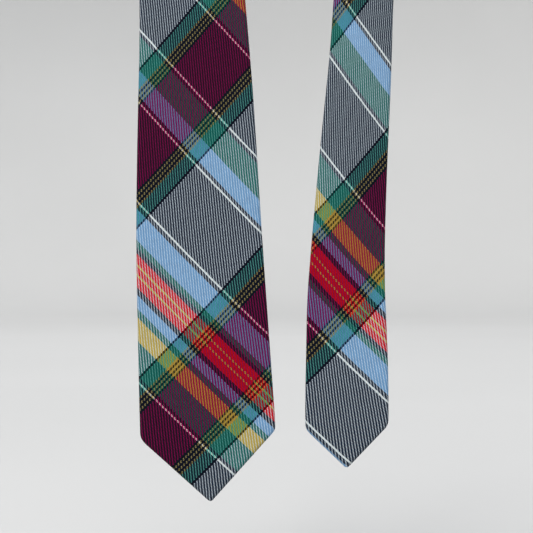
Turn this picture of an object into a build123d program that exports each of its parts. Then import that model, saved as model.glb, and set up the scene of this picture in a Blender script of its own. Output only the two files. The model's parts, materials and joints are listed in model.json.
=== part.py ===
from build123d import *
import os
from dataclasses import dataclass
from math import acos, atan, cos, degrees, radians, sin, tan

# A man's necktie, untied, draped round a collar with both ends hanging in front.
# Millimetres. +Z up, the wearer's front faces -Y, the wide blade hangs at -X and the tail at +X.
# The origin is on the collar's vertical axis, level with the middle of the neckband at the nape.
#
# Every length of the tie has the same build: a wool shell folded round an interlining, its two
# flaps drawn together up the middle of the back by one slip-stitch thread. The neckband is a
# strip that bends only along straight rulings, so it would lie flat on the bench at its true length.

# Cloth, front to back through the tie
cloth = 0.8  # wool twill, one layer
interlining = 2.0  # brushed wool
tipping = 0.25  # lining cloth that faces the two ends
layer_gap = 0.1  # air between layers
thread = 0.5  # slip-stitch thread
slit = 0.9  # between the shell's two flaps, where the thread runs
thickness = 2 * cloth + interlining + tipping + 3 * layer_gap

# Neckband: widths, and its course from the nape to each hinge along its middle line
nape_width = 34.0
collar_radius = 47.0
collar_angle = radians(35)  # how far the band follows the collar to each side of the nape
nape_run = 24.0  # flat, between the collar bend and the roll over the shoulder
roll_radius = 16.0
shoulder_run = 30.0  # flat, down the chest
chest_radius = 45.0
hang_run = 35.0  # flat, straight down to the hinge
bend_step = radians(9)  # facets of the bends

# Hinges, one at each seam between the neckband and an end
hinge_gap = 1.6  # from the hinge axis to each body, so that the ends swing clear
seam_thread = 0.4

# Points of the two ends
point_half_angle = radians(45)
point_radius = 2.5
shell_hem = 9.0  # cloth turned in along the point's edges
flap_margin = 1.3  # the window's side corners, in from the long edges
tipping_inset = 1.4  # in from the shell's outer edge

# Bar tack and spare thread where the two flaps part
tack_length = 9.0
tack_height = 1.6
tack_thickness = 0.7
tack_offset = 2.0  # above the place where the flaps part
slack_loop_width = 3.0
slack_loop_height = 11.0
slack_loop_drop = 3.0  # below the place where the flaps part

# Keeper on the blade's back, which holds the tail when the tie is knotted
keeper_rise = 178.0  # from the blade's point to the keeper's lower edge
keeper_width = 14.0
keeper_cloth = 1.5
keeper_pad = 5.0  # sewn down at each end
keeper_ramp = 2.5
keeper_side_play = 0.7  # beside the tail's widest place
keeper_play = 0.6  # over the tail's thickness
keeper_tack_width = 1.0
keeper_tack_length = 9.8

# Blank label on the blade's back
label_rise = 208.0
label_width = 44.0
label_height = 19.0
label_thickness = 0.3
label_stitch = 0.4
label_stitch_inset = 2.0


@dataclass
class End:
    """One hanging end. Sway and widths are (height above the point, value) along its length."""

    side: int  # -1 for the blade, +1 for the tail
    reach: float  # from the nape to the point
    hinge_width: float
    sway: list  # X of its middle line
    widths: list
    lean: float  # of the point's own axis from vertical
    opening_rise: float  # from the point to where the two flaps meet on the back
    tipping_rise: float
    shoulder_radii: dict  # of the left (-1) and right (+1) corners


blade = End(
    side=-1,
    reach=735.0,
    hinge_width=48.0,
    sway=[(0, -40.0), (46, -41.8), (156, -46.7), (299, -50.9)],
    widths=[(0, 81.0), (46, 80.6), (85, 78.8), (156, 75.0), (228, 69.6), (299, 63.0)],
    lean=radians(3.2),
    opening_rise=92.0,
    tipping_rise=125.0,
    shoulder_radii={-1: 9.0, 1: 5.0},
)
tail = End(
    side=1,
    reach=715.0,
    hinge_width=34.0,
    sway=[(0, 40.9), (65, 41.0), (110, 40.8), (172, 44.0), (243, 49.0), (279, 50.9)],
    widths=[(0, 48.6), (38, 49.6), (85, 47.6), (136, 43.6), (208, 39.5), (279, 35.7)],
    lean=radians(1.4),
    opening_rise=62.0,
    tipping_rise=88.0,
    shoulder_radii={-1: 7.0, 1: 6.0},
)


# ---------------------------------------------------------------- neckband


def neck_bends():
    """One half of the neckband as (length, radius, ruling angle) from the nape; flats have no radius."""
    lean = atan(cos(collar_angle))
    turn = acos(-cos(collar_angle) ** 2)
    return [
        (collar_radius * collar_angle, collar_radius, radians(90)),
        (nape_run, None, None),
        (roll_radius * turn / sin(lean), roll_radius, lean),
        (shoulder_run, None, None),
        (chest_radius * collar_angle, chest_radius, radians(90)),
        (hang_run - hinge_gap, None, None),
    ]


def neck_length():
    """From the nape to the neckband's end at a hinge, along its middle."""
    return sum(length for length, _, _ in neck_bends())


def neck_cuts():
    """Cuts along the blade's half of the neckband: (distance, point, ruling line, normal, ruling angle)."""
    square = radians(90)
    point = Vector(0, collar_radius, 0)
    tangent, normal, across = Vector(-1, 0, 0), Vector(0, 1, 0), Vector(0, 0, -1)
    distance = 0.0
    cuts = [(distance, point, across, normal, square)]
    for length, radius, ruling in neck_bends():
        if radius is None:
            point = point + tangent * length
            distance += length
            cuts.append((distance, point, across, normal, square))
            continue
        line = tangent * cos(ruling) + across * sin(ruling)
        if ruling != square:
            cuts[-1] = (distance, point, line, normal, ruling)
        turn = length * sin(ruling) / radius
        steps = max(3, round(turn / bend_step))
        bend_axis = Axis(point - normal * radius, line)
        start, frame = point, (tangent, normal, across)
        for step in range(1, steps + 1):
            angle = turn * step / steps
            spin = degrees(-angle)
            turned = Vertex(*start).rotate(bend_axis, spin).center()
            point = turned + line * (radius * angle / tan(ruling))
            tangent, normal, across = [v.rotate(Axis((0, 0, 0), line), spin) for v in frame]
            cuts.append((distance + length * step / steps, point, line, normal, ruling))
        distance += length
    return cuts


def neck_sections():
    """Every cut from the tail's hinge to the blade's: (point, ruling line, normal, width, ruling angle)."""
    total = neck_length()
    half = neck_cuts()

    def width_at(distance, end):
        return nape_width + (end.hinge_width - nape_width) * distance / total

    def mirrored(v):
        return Vector(-v.X, v.Y, v.Z)

    blade_half = [(p, line, n, width_at(d, blade), r) for d, p, line, n, r in half]
    tail_half = [
        (mirrored(p), mirrored(line), mirrored(n), width_at(d, tail), r) for d, p, line, n, r in half[1:]
    ]
    return tail_half[::-1] + blade_half


def neck_solid(profile):
    """A solid along the neckband. profile(width) gives its corners as (across, outward) pairs."""
    wires = []
    for point, line, normal, width, ruling in neck_sections():
        corners = [point + line * (a / sin(ruling)) + normal * n for a, n in profile(width)]
        wires.append(Wire.make_polygon(corners, close=True))
    return Solid.make_loft(wires, ruled=True)


def shell_profile(width):
    """The folded shell: a flat tube, slit up the middle of its back."""
    edge, face = width / 2, thickness / 2
    return [
        (-slit / 2, -face),
        (-edge, -face),
        (-edge, face),
        (edge, face),
        (edge, -face),
        (slit / 2, -face),
        (slit / 2, -face + cloth),
        (edge - cloth, -face + cloth),
        (edge - cloth, face - cloth),
        (-edge + cloth, face - cloth),
        (-edge + cloth, -face + cloth),
        (-slit / 2, -face + cloth),
    ]


def interlining_profile(width):
    """The interlining, against the inside of the shell's face."""
    edge = width / 2 - cloth - layer_gap
    front = thickness / 2 - cloth - layer_gap
    back = front - interlining
    return [(-edge, back), (edge, back), (edge, front), (-edge, front)]


def thread_profile(_width):
    """The slip-stitch thread in the slit."""
    back = -thickness / 2 + (cloth - thread) / 2
    edge = thread / 2
    return [(-edge, back), (edge, back), (edge, back + thread), (-edge, back + thread)]


neck_end = neck_cuts()[-1][1]
hinge_x = -neck_end.X
hinge_y = neck_end.Y
hinge_z = neck_end.Z - hinge_gap
face_y = hinge_y - thickness / 2
back_y = hinge_y + thickness / 2


# ---------------------------------------------------------------- hanging ends


def end_length(end):
    """From the hinge axis to the point."""
    return end.reach - neck_length() - hinge_gap


def end_top(end):
    """Height of the end's upper edge above its point."""
    return end_length(end) - hinge_gap


def placed(end, x, rise, y):
    """A place on an end, from its height above the point."""
    return Vector(x, y, hinge_z - end_length(end) + rise)


def smooth(knots, at):
    """A smooth curve through (place, value) knots, level at its two ends and past them."""
    if at <= knots[0][0]:
        return knots[0][1]
    if at >= knots[-1][0]:
        return knots[-1][1]
    slopes = [0.0]
    slopes += [(b[1] - a[1]) / (b[0] - a[0]) for a, b in zip(knots, knots[2:])]
    slopes += [0.0]
    number = max(i for i in range(len(knots) - 1) if knots[i][0] <= at)
    (low, start), (high, finish) = knots[number], knots[number + 1]
    run = high - low
    t = (at - low) / run
    rising = t * t * (3 - 2 * t)
    bend = slopes[number] * t * (1 - t) ** 2 - slopes[number + 1] * t * t * (1 - t)
    return start + (finish - start) * rising + bend * run


def middle(end, rise):
    """X of the end's middle line, from its point up to the hinge."""
    return smooth(end.sway + [(end_length(end), end.side * hinge_x)], rise)


def width(end, rise):
    """The end's width, from its point up to the hinge."""
    return smooth(end.widths + [(end_length(end), end.hinge_width)], rise)


def long_side(end, hand, rise, inset):
    """X of the left (-1) or right (+1) long edge, taken in by inset."""
    return middle(end, rise) + hand * (width(end, rise) / 2 - inset)


def tip(end, inset):
    """(x, rise) of the point when its edges are taken in by inset."""
    up = inset / sin(point_half_angle)
    return middle(end, 0) - up * sin(end.lean), up * cos(end.lean)


def shoulder(end, hand, inset):
    """(x, rise) where the point's sloping edge meets a long edge."""
    tip_x, tip_rise = tip(end, inset)
    slope = tan(point_half_angle - hand * end.lean)
    rise = tip_rise
    for _ in range(12):
        rise = tip_rise + abs(long_side(end, hand, rise, inset) - tip_x) / slope
    return long_side(end, hand, rise, inset), rise


def end_slab(end, inset, top, front, back):
    """The end's outline, taken in by inset, from its point up to top, between two depths."""
    steps = 9
    lines = []
    tip_at = placed(end, *tip(end, inset), front)
    heads = {}
    for hand in (-1, 1):
        corner_x, low = shoulder(end, hand, inset)
        rises = [low + (top - low) * i / steps for i in range(steps + 1)]
        places = [placed(end, long_side(end, hand, r, inset), r, front) for r in rises]
        lines += [Line(tip_at, placed(end, corner_x, low, front)), Spline(*places)]
        heads[hand] = places[-1]
    lines.append(Line(heads[-1], heads[1]))
    return extrude(Face(Wire(lines)), amount=back - front, dir=(0, 1, 0))


def strip(end, half_width, low, high, front, back):
    """A narrow strip that follows the end's middle line."""
    steps = 12
    rises = [low + (high - low) * i / steps for i in range(steps + 1)]
    left = [placed(end, middle(end, r) - half_width, r, front) for r in rises]
    right = [placed(end, middle(end, r) + half_width, r, front) for r in rises]
    sides = [Spline(*left), Spline(*right)]
    outline = Wire([*sides, Line(left[0], right[0]), Line(left[-1], right[-1])])
    return extrude(Face(outline), amount=back - front, dir=(0, 1, 0))


def back_window(end):
    """The kite between the point's hems and the two flaps, where the tipping shows."""
    front = back_y - 2 * cloth
    depth = 3 * cloth
    left, right = [shoulder(end, hand, flap_margin) for hand in (-1, 1)]
    corners = [
        tip(end, shell_hem),
        (right[0], right[1] + shell_hem),
        (middle(end, end.opening_rise), end.opening_rise),
        (left[0], left[1] + shell_hem),
    ]
    outline = Wire.make_polygon([placed(end, x, rise, front) for x, rise in corners], close=True)
    return extrude(Face(outline), amount=depth, dir=(0, 1, 0))


def end_shell(end):
    """The shell of one end: a flat envelope with its back slit and its window."""
    top = end_top(end)
    over = cloth
    envelope = end_slab(end, 0, top, face_y, back_y)
    corners = [(tip(end, 0), point_radius)]
    corners += [(shoulder(end, hand, 0), end.shoulder_radii[hand]) for hand in (-1, 1)]
    for (x, rise), radius in corners:
        place = placed(end, x, rise, hinge_y)
        corner = envelope.edges().filter_by(Axis.Y).sort_by_distance(place)[0]
        envelope = fillet(corner, radius)
    hollow = end_slab(end, cloth, top + over, face_y + cloth, back_y - cloth)
    seam = strip(end, slit / 2, end.opening_rise - shell_hem, top + over, back_y - 1.5 * cloth, back_y + over)
    return envelope - hollow - back_window(end) - seam


def end_interlining(end):
    """The interlining of one end."""
    front = face_y + cloth + layer_gap
    return end_slab(end, cloth + layer_gap, end_top(end), front, front + interlining)


def end_tipping(end):
    """The lining that faces one end, seen through the window in the back."""
    back = back_y - cloth - layer_gap
    return end_slab(end, tipping_inset, end.tipping_rise, back - tipping, back)


def end_thread(end):
    """The slip-stitch thread in the back slit of one end."""
    back = back_y - (cloth - thread) / 2
    return strip(end, thread / 2, end.opening_rise + tack_height, end_top(end), back - thread, back)


def bar_tack(end):
    """The close stitches across the seam where the two flaps part."""
    rise = end.opening_rise + tack_offset
    place = placed(end, middle(end, rise), rise, back_y + tack_thickness / 2)
    return Pos(place) * Box(tack_length, tack_thickness, tack_height)


def slack_loop(end):
    """The spare loop of slip-stitch thread that hangs behind the bar tack."""
    rise = end.opening_rise - slack_loop_drop - slack_loop_height / 2
    ring = SlotOverall(slack_loop_height, slack_loop_width + thread, rotation=90)
    hole = SlotOverall(slack_loop_height - 2 * thread, slack_loop_width - thread, rotation=90)
    origin = placed(end, middle(end, rise), rise, back_y - cloth + thread / 2)
    plane = Plane(origin, x_dir=(1, 0, 0), z_dir=(0, -1, 0))
    return extrude(plane * (ring - hole), amount=thread / 2, both=True)


def seam_row(end):
    """The machine stitches that join the neckband to one end, across the shell's face."""
    place = (end.side * hinge_x, face_y + cloth / 2, neck_end.Z - seam_thread / 2)
    return Pos(place) * Box(end.hinge_width - 2 * cloth, seam_thread, seam_thread)


# ---------------------------------------------------------------- keeper and label

keeper_mid_rise = keeper_rise + keeper_width / 2
keeper_x = middle(blade, keeper_mid_rise)
keeper_free = max(w for _, w in tail.widths) + 2 * keeper_side_play
keeper_lift = thickness + keeper_play
keeper_half = keeper_free / 2 + keeper_ramp + keeper_pad


def keeper_loop():
    """A band of shell cloth across the blade's back, sewn down at both ends and raised between them."""
    foot = keeper_half - keeper_pad
    top = keeper_free / 2
    under = [(keeper_half, 0), (foot, 0), (top, keeper_lift)]
    over = [
        (top, keeper_lift + keeper_cloth),
        (foot + keeper_cloth / 2, keeper_cloth),
        (keeper_half, keeper_cloth),
    ]
    under += [(-x, y) for x, y in under[::-1]]
    over = [(-x, y) for x, y in over[::-1]] + over
    corners = [placed(blade, keeper_x + x, keeper_rise, back_y + y) for x, y in under + over]
    return extrude(Face(Wire.make_polygon(corners, close=True)), amount=keeper_width, dir=(0, 0, 1))


def keeper_tacks():
    """A short row of stitches through each end of the keeper."""
    reach = keeper_half - keeper_pad / 2
    tack = Box(keeper_tack_width, tack_thickness, keeper_tack_length)
    y = back_y + keeper_cloth + tack_thickness / 2
    places = [placed(blade, keeper_x + hand * reach, keeper_mid_rise, y) for hand in (-1, 1)]
    return [Pos(place) * tack for place in places]


label_mid_rise = label_rise + label_height / 2
label_x = middle(blade, label_mid_rise)


def maker_label():
    """A blank woven label across the blade's back."""
    place = placed(blade, label_x, label_mid_rise, back_y + label_thickness / 2)
    return Pos(place) * Box(label_width, label_thickness, label_height)


def label_stitches():
    """The rows of stitches that hold the label's two short ends."""
    reach = label_width / 2 - label_stitch_inset
    row = Box(label_stitch, label_stitch, label_height - label_stitch_inset)
    y = back_y + label_thickness + label_stitch / 2
    places = [placed(blade, label_x + hand * reach, label_mid_rise, y) for hand in (-1, 1)]
    return [Pos(place) * row for place in places]


# ---------------------------------------------------------------- assembly

nodes = {
    "neck_shell": [neck_solid(shell_profile)],
    "neck_interlining": [neck_solid(interlining_profile)],
    "neck_slip_stitch": [neck_solid(thread_profile)],
    "keeper_loop": [keeper_loop()],
    "keeper_tacks": keeper_tacks(),
    "maker_label": [maker_label()],
    "label_stitches": label_stitches(),
}
for name, end in (("blade", blade), ("tail", tail)):
    nodes[f"{name}_neck_seam"] = [seam_row(end)]
    nodes[f"{name}_shell"] = [end_shell(end)]
    nodes[f"{name}_interlining"] = [end_interlining(end)]
    nodes[f"{name}_tipping"] = [end_tipping(end)]
    nodes[f"{name}_slip_stitch"] = [end_thread(end)]
    nodes[f"{name}_bar_tack"] = [bar_tack(end)]
    nodes[f"{name}_slack_loop"] = [slack_loop(end)]

os.makedirs("parts", exist_ok=True)
for name, solids in nodes.items():
    export_step(Compound(children=[Part(solid.wrapped) for solid in solids]), f"parts/{name}.step")

print("hinges at x +/-", hinge_x, "y", hinge_y, "z", hinge_z)
print("points at z", placed(blade, 0, 0, 0).Z, placed(tail, 0, 0, 0).Z, "face y", face_y, "back y", back_y)
print("keeper x", keeper_x, "z", placed(blade, 0, keeper_rise, 0).Z, "lift", keeper_lift, "free", keeper_free)
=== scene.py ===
import json
import logging
import math
from dataclasses import dataclass, field
from enum import Enum
from typing import Callable, Iterable, Sequence

import bmesh
import bpy
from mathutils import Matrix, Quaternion, Vector, noise


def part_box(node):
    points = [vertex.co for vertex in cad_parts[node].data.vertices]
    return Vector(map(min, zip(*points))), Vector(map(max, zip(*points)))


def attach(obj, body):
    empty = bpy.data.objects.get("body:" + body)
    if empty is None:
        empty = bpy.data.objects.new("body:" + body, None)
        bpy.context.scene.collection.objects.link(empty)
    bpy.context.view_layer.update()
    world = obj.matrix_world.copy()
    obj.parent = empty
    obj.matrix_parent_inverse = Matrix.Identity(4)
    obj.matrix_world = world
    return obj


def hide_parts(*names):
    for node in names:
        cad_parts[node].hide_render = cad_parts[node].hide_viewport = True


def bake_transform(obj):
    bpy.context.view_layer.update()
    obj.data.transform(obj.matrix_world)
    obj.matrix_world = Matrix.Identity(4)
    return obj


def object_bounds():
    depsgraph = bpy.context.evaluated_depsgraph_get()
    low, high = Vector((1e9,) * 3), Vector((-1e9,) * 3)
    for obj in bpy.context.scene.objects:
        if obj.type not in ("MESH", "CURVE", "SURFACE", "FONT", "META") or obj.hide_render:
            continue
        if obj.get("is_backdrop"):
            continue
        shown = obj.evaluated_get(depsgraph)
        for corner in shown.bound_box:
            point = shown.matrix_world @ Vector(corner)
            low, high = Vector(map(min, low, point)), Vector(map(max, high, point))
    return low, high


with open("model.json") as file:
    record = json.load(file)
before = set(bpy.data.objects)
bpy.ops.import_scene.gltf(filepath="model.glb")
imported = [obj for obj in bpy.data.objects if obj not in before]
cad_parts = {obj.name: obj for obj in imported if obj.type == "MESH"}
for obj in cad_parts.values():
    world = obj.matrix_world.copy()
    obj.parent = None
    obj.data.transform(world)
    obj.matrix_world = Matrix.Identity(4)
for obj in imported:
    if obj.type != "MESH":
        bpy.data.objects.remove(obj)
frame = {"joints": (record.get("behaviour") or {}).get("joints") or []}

logging.basicConfig(level=logging.INFO, format="%(name)s: %(message)s")
log = logging.getLogger("necktie")

MM = 0.001
SAME_PLACE = 1e-6  # metres; places nearer than this are one
CAD_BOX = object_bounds()

# A plaid wool necktie, draped untied round a collar. Metres, +Z up, the front faces -Y.
# Cloth is laid by two flat measures: how far along the tie, and how far across it towards the
# wearer's middle. Each cloth's UV map counts the threads of the plaid, a hundred to one unit.
THREADS_PER_UV = 100.0

Point2 = tuple[float, float]
Point3 = tuple[float, float, float]
Color = tuple[float, float, float, float]
Socket = bpy.types.NodeSocket
Material = bpy.types.Material
Piece = bpy.types.Object


def hinge_of(joint_name: str) -> Vector:
    """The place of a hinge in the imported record.

    Args:
        joint_name: the joint's name.

    Returns:
        Its position in metres.
    """
    joint = next(j for j in frame["joints"] if j["name"] == joint_name)
    return Vector(joint["pos_m"])


def smooth_knots(knots: Sequence[Point2], at: float) -> float:
    """A smooth curve through knots, level at its two ends and past them.

    Args:
        knots: (place, value) pairs in order of place.
        at: the place to read.

    Returns:
        The curve's value there.
    """
    if at <= knots[0][0]:
        return knots[0][1]
    if at >= knots[-1][0]:
        return knots[-1][1]
    slopes = [0.0]
    slopes += [(b[1] - a[1]) / (b[0] - a[0]) for a, b in zip(knots, knots[2:])]
    slopes += [0.0]
    number = max(i for i in range(len(knots) - 1) if knots[i][0] <= at)
    (low, start), (high, finish) = knots[number], knots[number + 1]
    run = high - low
    t = (at - low) / run
    rising = t * t * (3 - 2 * t)
    bend = slopes[number] * t * (1 - t) ** 2 - slopes[number + 1] * t * t * (1 - t)
    return start + (finish - start) * rising + bend * run


def ease(low: float, high: float, at: float) -> float:
    """Smooth step from 0 at low to 1 at high."""
    t = min(1.0, max(0.0, (at - low) / (high - low)))
    return t * t * (3 - 2 * t)


def soft_min(a: float, b: float, blend: float) -> float:
    """The smaller of two numbers, rounded over where they are within blend of each other."""
    near = max(blend - abs(a - b), 0.0) / blend if blend > 0 else 0.0
    return min(a, b) - near * near * blend / 4


def spread(low: float, high: float, count: int) -> list[float]:
    """Places evenly apart, from one step above low up to high."""
    return [low + (high - low) * k / count for k in range(1, count + 1)]


# -------- yarns, weave and finishes


class Yarn(Enum):
    """The dyed yarns of the plaid, by the colour of a lit float."""

    NAVY = (0.008, 0.013, 0.028, 1.0)
    IVORY = (0.720, 0.710, 0.660, 1.0)
    ICE = (0.600, 0.685, 0.750, 1.0)
    SPRUCE = (0.008, 0.120, 0.098, 1.0)
    EMERALD = (0.095, 0.370, 0.335, 1.0)
    STRAW = (0.500, 0.345, 0.055, 1.0)
    WHEAT = (0.390, 0.310, 0.120, 1.0)
    SKY = (0.150, 0.305, 0.500, 1.0)
    SCARLET = (0.600, 0.003, 0.010, 1.0)
    BURGUNDY = (0.290, 0.004, 0.087, 1.0)


@dataclass(frozen=True)
class Stripe:
    """One stripe of the sett: a yarn and how many threads of it lie side by side."""

    yarn: Yarn
    threads: int


def stripes(*pairs: tuple[Yarn, int]) -> tuple[Stripe, ...]:
    """Stripes from (yarn, threads) pairs."""
    return tuple(Stripe(yarn, threads) for yarn, threads in pairs)


WARP = stripes(
    (Yarn.NAVY, 74), (Yarn.IVORY, 2), (Yarn.NAVY, 4), (Yarn.SPRUCE, 28), (Yarn.STRAW, 19),
    (Yarn.SPRUCE, 7), (Yarn.SKY, 11), (Yarn.NAVY, 6), (Yarn.SCARLET, 9), (Yarn.STRAW, 2),
    (Yarn.SCARLET, 6), (Yarn.STRAW, 2), (Yarn.SCARLET, 8), (Yarn.NAVY, 5), (Yarn.SPRUCE, 6),
    (Yarn.SKY, 25), (Yarn.NAVY, 5), (Yarn.IVORY, 2), (Yarn.NAVY, 78), (Yarn.IVORY, 2),
    (Yarn.NAVY, 4), (Yarn.SKY, 21), (Yarn.SPRUCE, 28), (Yarn.NAVY, 4), (Yarn.IVORY, 2),
)
WEFT = stripes(
    (Yarn.BURGUNDY, 56), (Yarn.NAVY, 2), (Yarn.WHEAT, 2), (Yarn.NAVY, 2), (Yarn.WHEAT, 2),
    (Yarn.NAVY, 2), (Yarn.WHEAT, 2), (Yarn.EMERALD, 12), (Yarn.NAVY, 2), (Yarn.ICE, 100),
    (Yarn.NAVY, 2), (Yarn.EMERALD, 12), (Yarn.WHEAT, 2), (Yarn.NAVY, 2), (Yarn.WHEAT, 2),
    (Yarn.NAVY, 2), (Yarn.WHEAT, 2), (Yarn.NAVY, 2),
)
WARP_REPEAT = 315.0  # of the sett, in the UV map's units
WEFT_REPEAT = 214.0


@dataclass(frozen=True)
class Grain:
    """How one panel of plaid lies on the tie, in threads.

    Each family of threads is counted at the panel's zero, per metre along and across, and per
    metre along times metre across, which is how the threads crowd where the cloth is pulled.
    """

    warp: tuple[float, float, float, float]
    weft: tuple[float, float, float, float]
    crowds_until: float = 0.32

    def threads(self, along: float, across: float) -> Point2:
        """Thread counts at a place on the flat cloth.

        Args:
            along: metres from the panel's zero.
            across: metres to the right of its middle line.

        Returns:
            Warp and weft counts, as the UV map holds them.
        """
        pulled = min(along, self.crowds_until) * across
        counts = [c[0] + c[1] * along + c[2] * across + c[3] * pulled for c in (self.warp, self.weft)]
        return counts[0] / THREADS_PER_UV, counts[1] / THREADS_PER_UV


BLADE_GRAIN = Grain(warp=(29.6, 1166.0, 1132.0, 730.0), weft=(323.2, -1189.0, 1142.0, 680.0))
TAIL_GRAIN = Grain(warp=(584.3, -1222.0, -1082.0, -2050.0), weft=(-107.4, 1078.0, -1010.0, -2000.0))
NECK_GRAIN = Grain(warp=(812.0, 1180.0, -1180.0, 0.0), weft=(455.0, -1180.0, -1180.0, 0.0))
KEEPER_GRAIN = Grain(warp=(120.0, 1660.0, 0.0, 0.0), weft=(36.0, 0.0, 1660.0, 0.0))


# A Mix node holds sockets for every type of data, and these are the ones of each type.
MIX_FACTOR = 0
MIX_NUMBERS = (2, 3)
MIX_COLORS = (6, 7)
MIX_COLOR_RESULT = 2
GLOW_ROUGHNESS = 0.55  # of the soft glow that stray fibres give
WHITE: Color = (1.0, 1.0, 1.0, 1.0)


class Nodes:
    """A small builder for a material's nodes."""

    def __init__(self, name: str) -> None:
        """Starts an empty node material.

        Args:
            name: the material's name.
        """
        self.material = bpy.data.materials.new(name)
        self.material.use_nodes = True
        self.tree = self.material.node_tree
        self.tree.nodes.clear()

    def node(self, kind: str, **settings: object) -> bpy.types.Node:
        """Adds a node and sets its properties.

        Args:
            kind: the node's type name, without the ShaderNode prefix.
            settings: properties to set on it.

        Returns:
            The node.
        """
        made = self.tree.nodes.new("ShaderNode" + kind)
        for key, value in settings.items():
            setattr(made, key, value)
        return made

    def place(self) -> Socket:
        """The piece's own coordinates, in metres."""
        return self.node("TexCoord").outputs["Object"]

    def link(self, source: object, socket: Socket) -> None:
        """Links a socket, or writes a number or colour into the other one.

        Args:
            source: an output socket, a number or a colour.
            socket: the input that takes it.
        """
        if isinstance(source, Socket):
            self.tree.links.new(source, socket)
        else:
            socket.default_value = source

    def math(self, operation: str, *values: object) -> Socket:
        """A Math node.

        Args:
            operation: what it works out.
            values: up to three numbers or sockets.

        Returns:
            Its result.
        """
        made = self.node("Math", operation=operation)
        for value, socket in zip(values, made.inputs):
            self.link(value, socket)
        return made.outputs[0]

    def mix(self, factor: object, a: object, b: object, blend: str = "MIX") -> Socket:
        """A Mix node for two colours.

        Args:
            factor: how much of the second one is taken.
            a: the first colour.
            b: the second colour.
            blend: how they are mixed.

        Returns:
            The mixed colour.
        """
        made = self.node("Mix", data_type="RGBA", blend_type=blend)
        self.link(factor, made.inputs[MIX_FACTOR])
        self.link(a, made.inputs[MIX_COLORS[0]])
        self.link(b, made.inputs[MIX_COLORS[1]])
        return made.outputs[MIX_COLOR_RESULT]

    def choose(self, factor: object, a: object, b: object) -> Socket:
        """A Mix node for two numbers.

        Args:
            factor: 0 for the first one, 1 for the second.
            a: the first number.
            b: the second number.

        Returns:
            The chosen number.
        """
        made = self.node("Mix", data_type="FLOAT")
        self.link(factor, made.inputs[MIX_FACTOR])
        self.link(a, made.inputs[MIX_NUMBERS[0]])
        self.link(b, made.inputs[MIX_NUMBERS[1]])
        return made.outputs[0]

    def ramp(self, factor: object, stops: Iterable[tuple[float, Color]], hold: bool) -> Socket:
        """A colour ramp.

        Args:
            factor: what drives it.
            stops: (position, colour) pairs.
            hold: true for hard steps, false for a linear blend.

        Returns:
            Its colour.
        """
        made = self.node("ValToRGB")
        band = made.color_ramp
        band.interpolation = "CONSTANT" if hold else "LINEAR"
        stops = list(stops)
        for number, (place, color) in enumerate(stops):
            stop = band.elements[number] if number < 2 else band.elements.new(place)
            stop.position = place
            stop.color = color
        self.link(factor, made.inputs[0])
        return made.outputs[0]

    def noise(self, where: object, scale: float, detail: float = 2.0) -> Socket:
        """A noise texture.

        Args:
            where: the place it is read at.
            scale: how fine it is.
            detail: how many finer layers it has.

        Returns:
            Its value.
        """
        made = self.node("TexNoise")
        self.link(where, made.inputs["Vector"])
        made.inputs["Scale"].default_value = scale
        made.inputs["Detail"].default_value = detail
        return made.outputs["Fac"]

    def bump(self, height: object, distance: float, strength: float) -> Socket:
        """A Bump node.

        Args:
            height: what it raises.
            distance: how high that is, in metres.
            strength: how much of it shows.

        Returns:
            Its normal.
        """
        made = self.node("Bump")
        made.inputs["Distance"].default_value = distance
        made.inputs["Strength"].default_value = strength
        self.link(height, made.inputs["Height"])
        return made.outputs["Normal"]

    def slanting_rib(self, where: object, scale: float, distortion: float = 0.0) -> Socket:
        """A wave texture in slanting bands.

        Args:
            where: the place it is read at.
            scale: how fine it is.
            distortion: how much the bands wander.

        Returns:
            Its value.
        """
        made = self.node("TexWave", wave_type="BANDS", bands_direction="DIAGONAL")
        made.inputs["Scale"].default_value = scale
        made.inputs["Distortion"].default_value = distortion
        self.link(where, made.inputs["Vector"])
        return made.outputs["Fac"]

    def cloth(
        self, color: object, normal: object, roughness: float, sheen: float, shine: float = 0.12
    ) -> Material:
        """Finishes the material with a fibrous surface.

        Args:
            color: its colour.
            normal: its bumped normal.
            roughness: of the fibres.
            sheen: weight of the soft glow that stray fibres give.
            shine: strength of its plain reflection.

        Returns:
            The material.
        """
        shader = self.node("BsdfPrincipled")
        shader.inputs["Roughness"].default_value = roughness
        shader.inputs["Sheen Weight"].default_value = sheen
        shader.inputs["Sheen Roughness"].default_value = GLOW_ROUGHNESS
        shader.inputs["Specular IOR Level"].default_value = shine
        self.link(color, shader.inputs["Base Color"])
        self.link(normal, shader.inputs["Normal"])
        end = self.node("OutputMaterial")
        self.link(shader.outputs[0], end.inputs[0])
        return self.material


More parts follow.
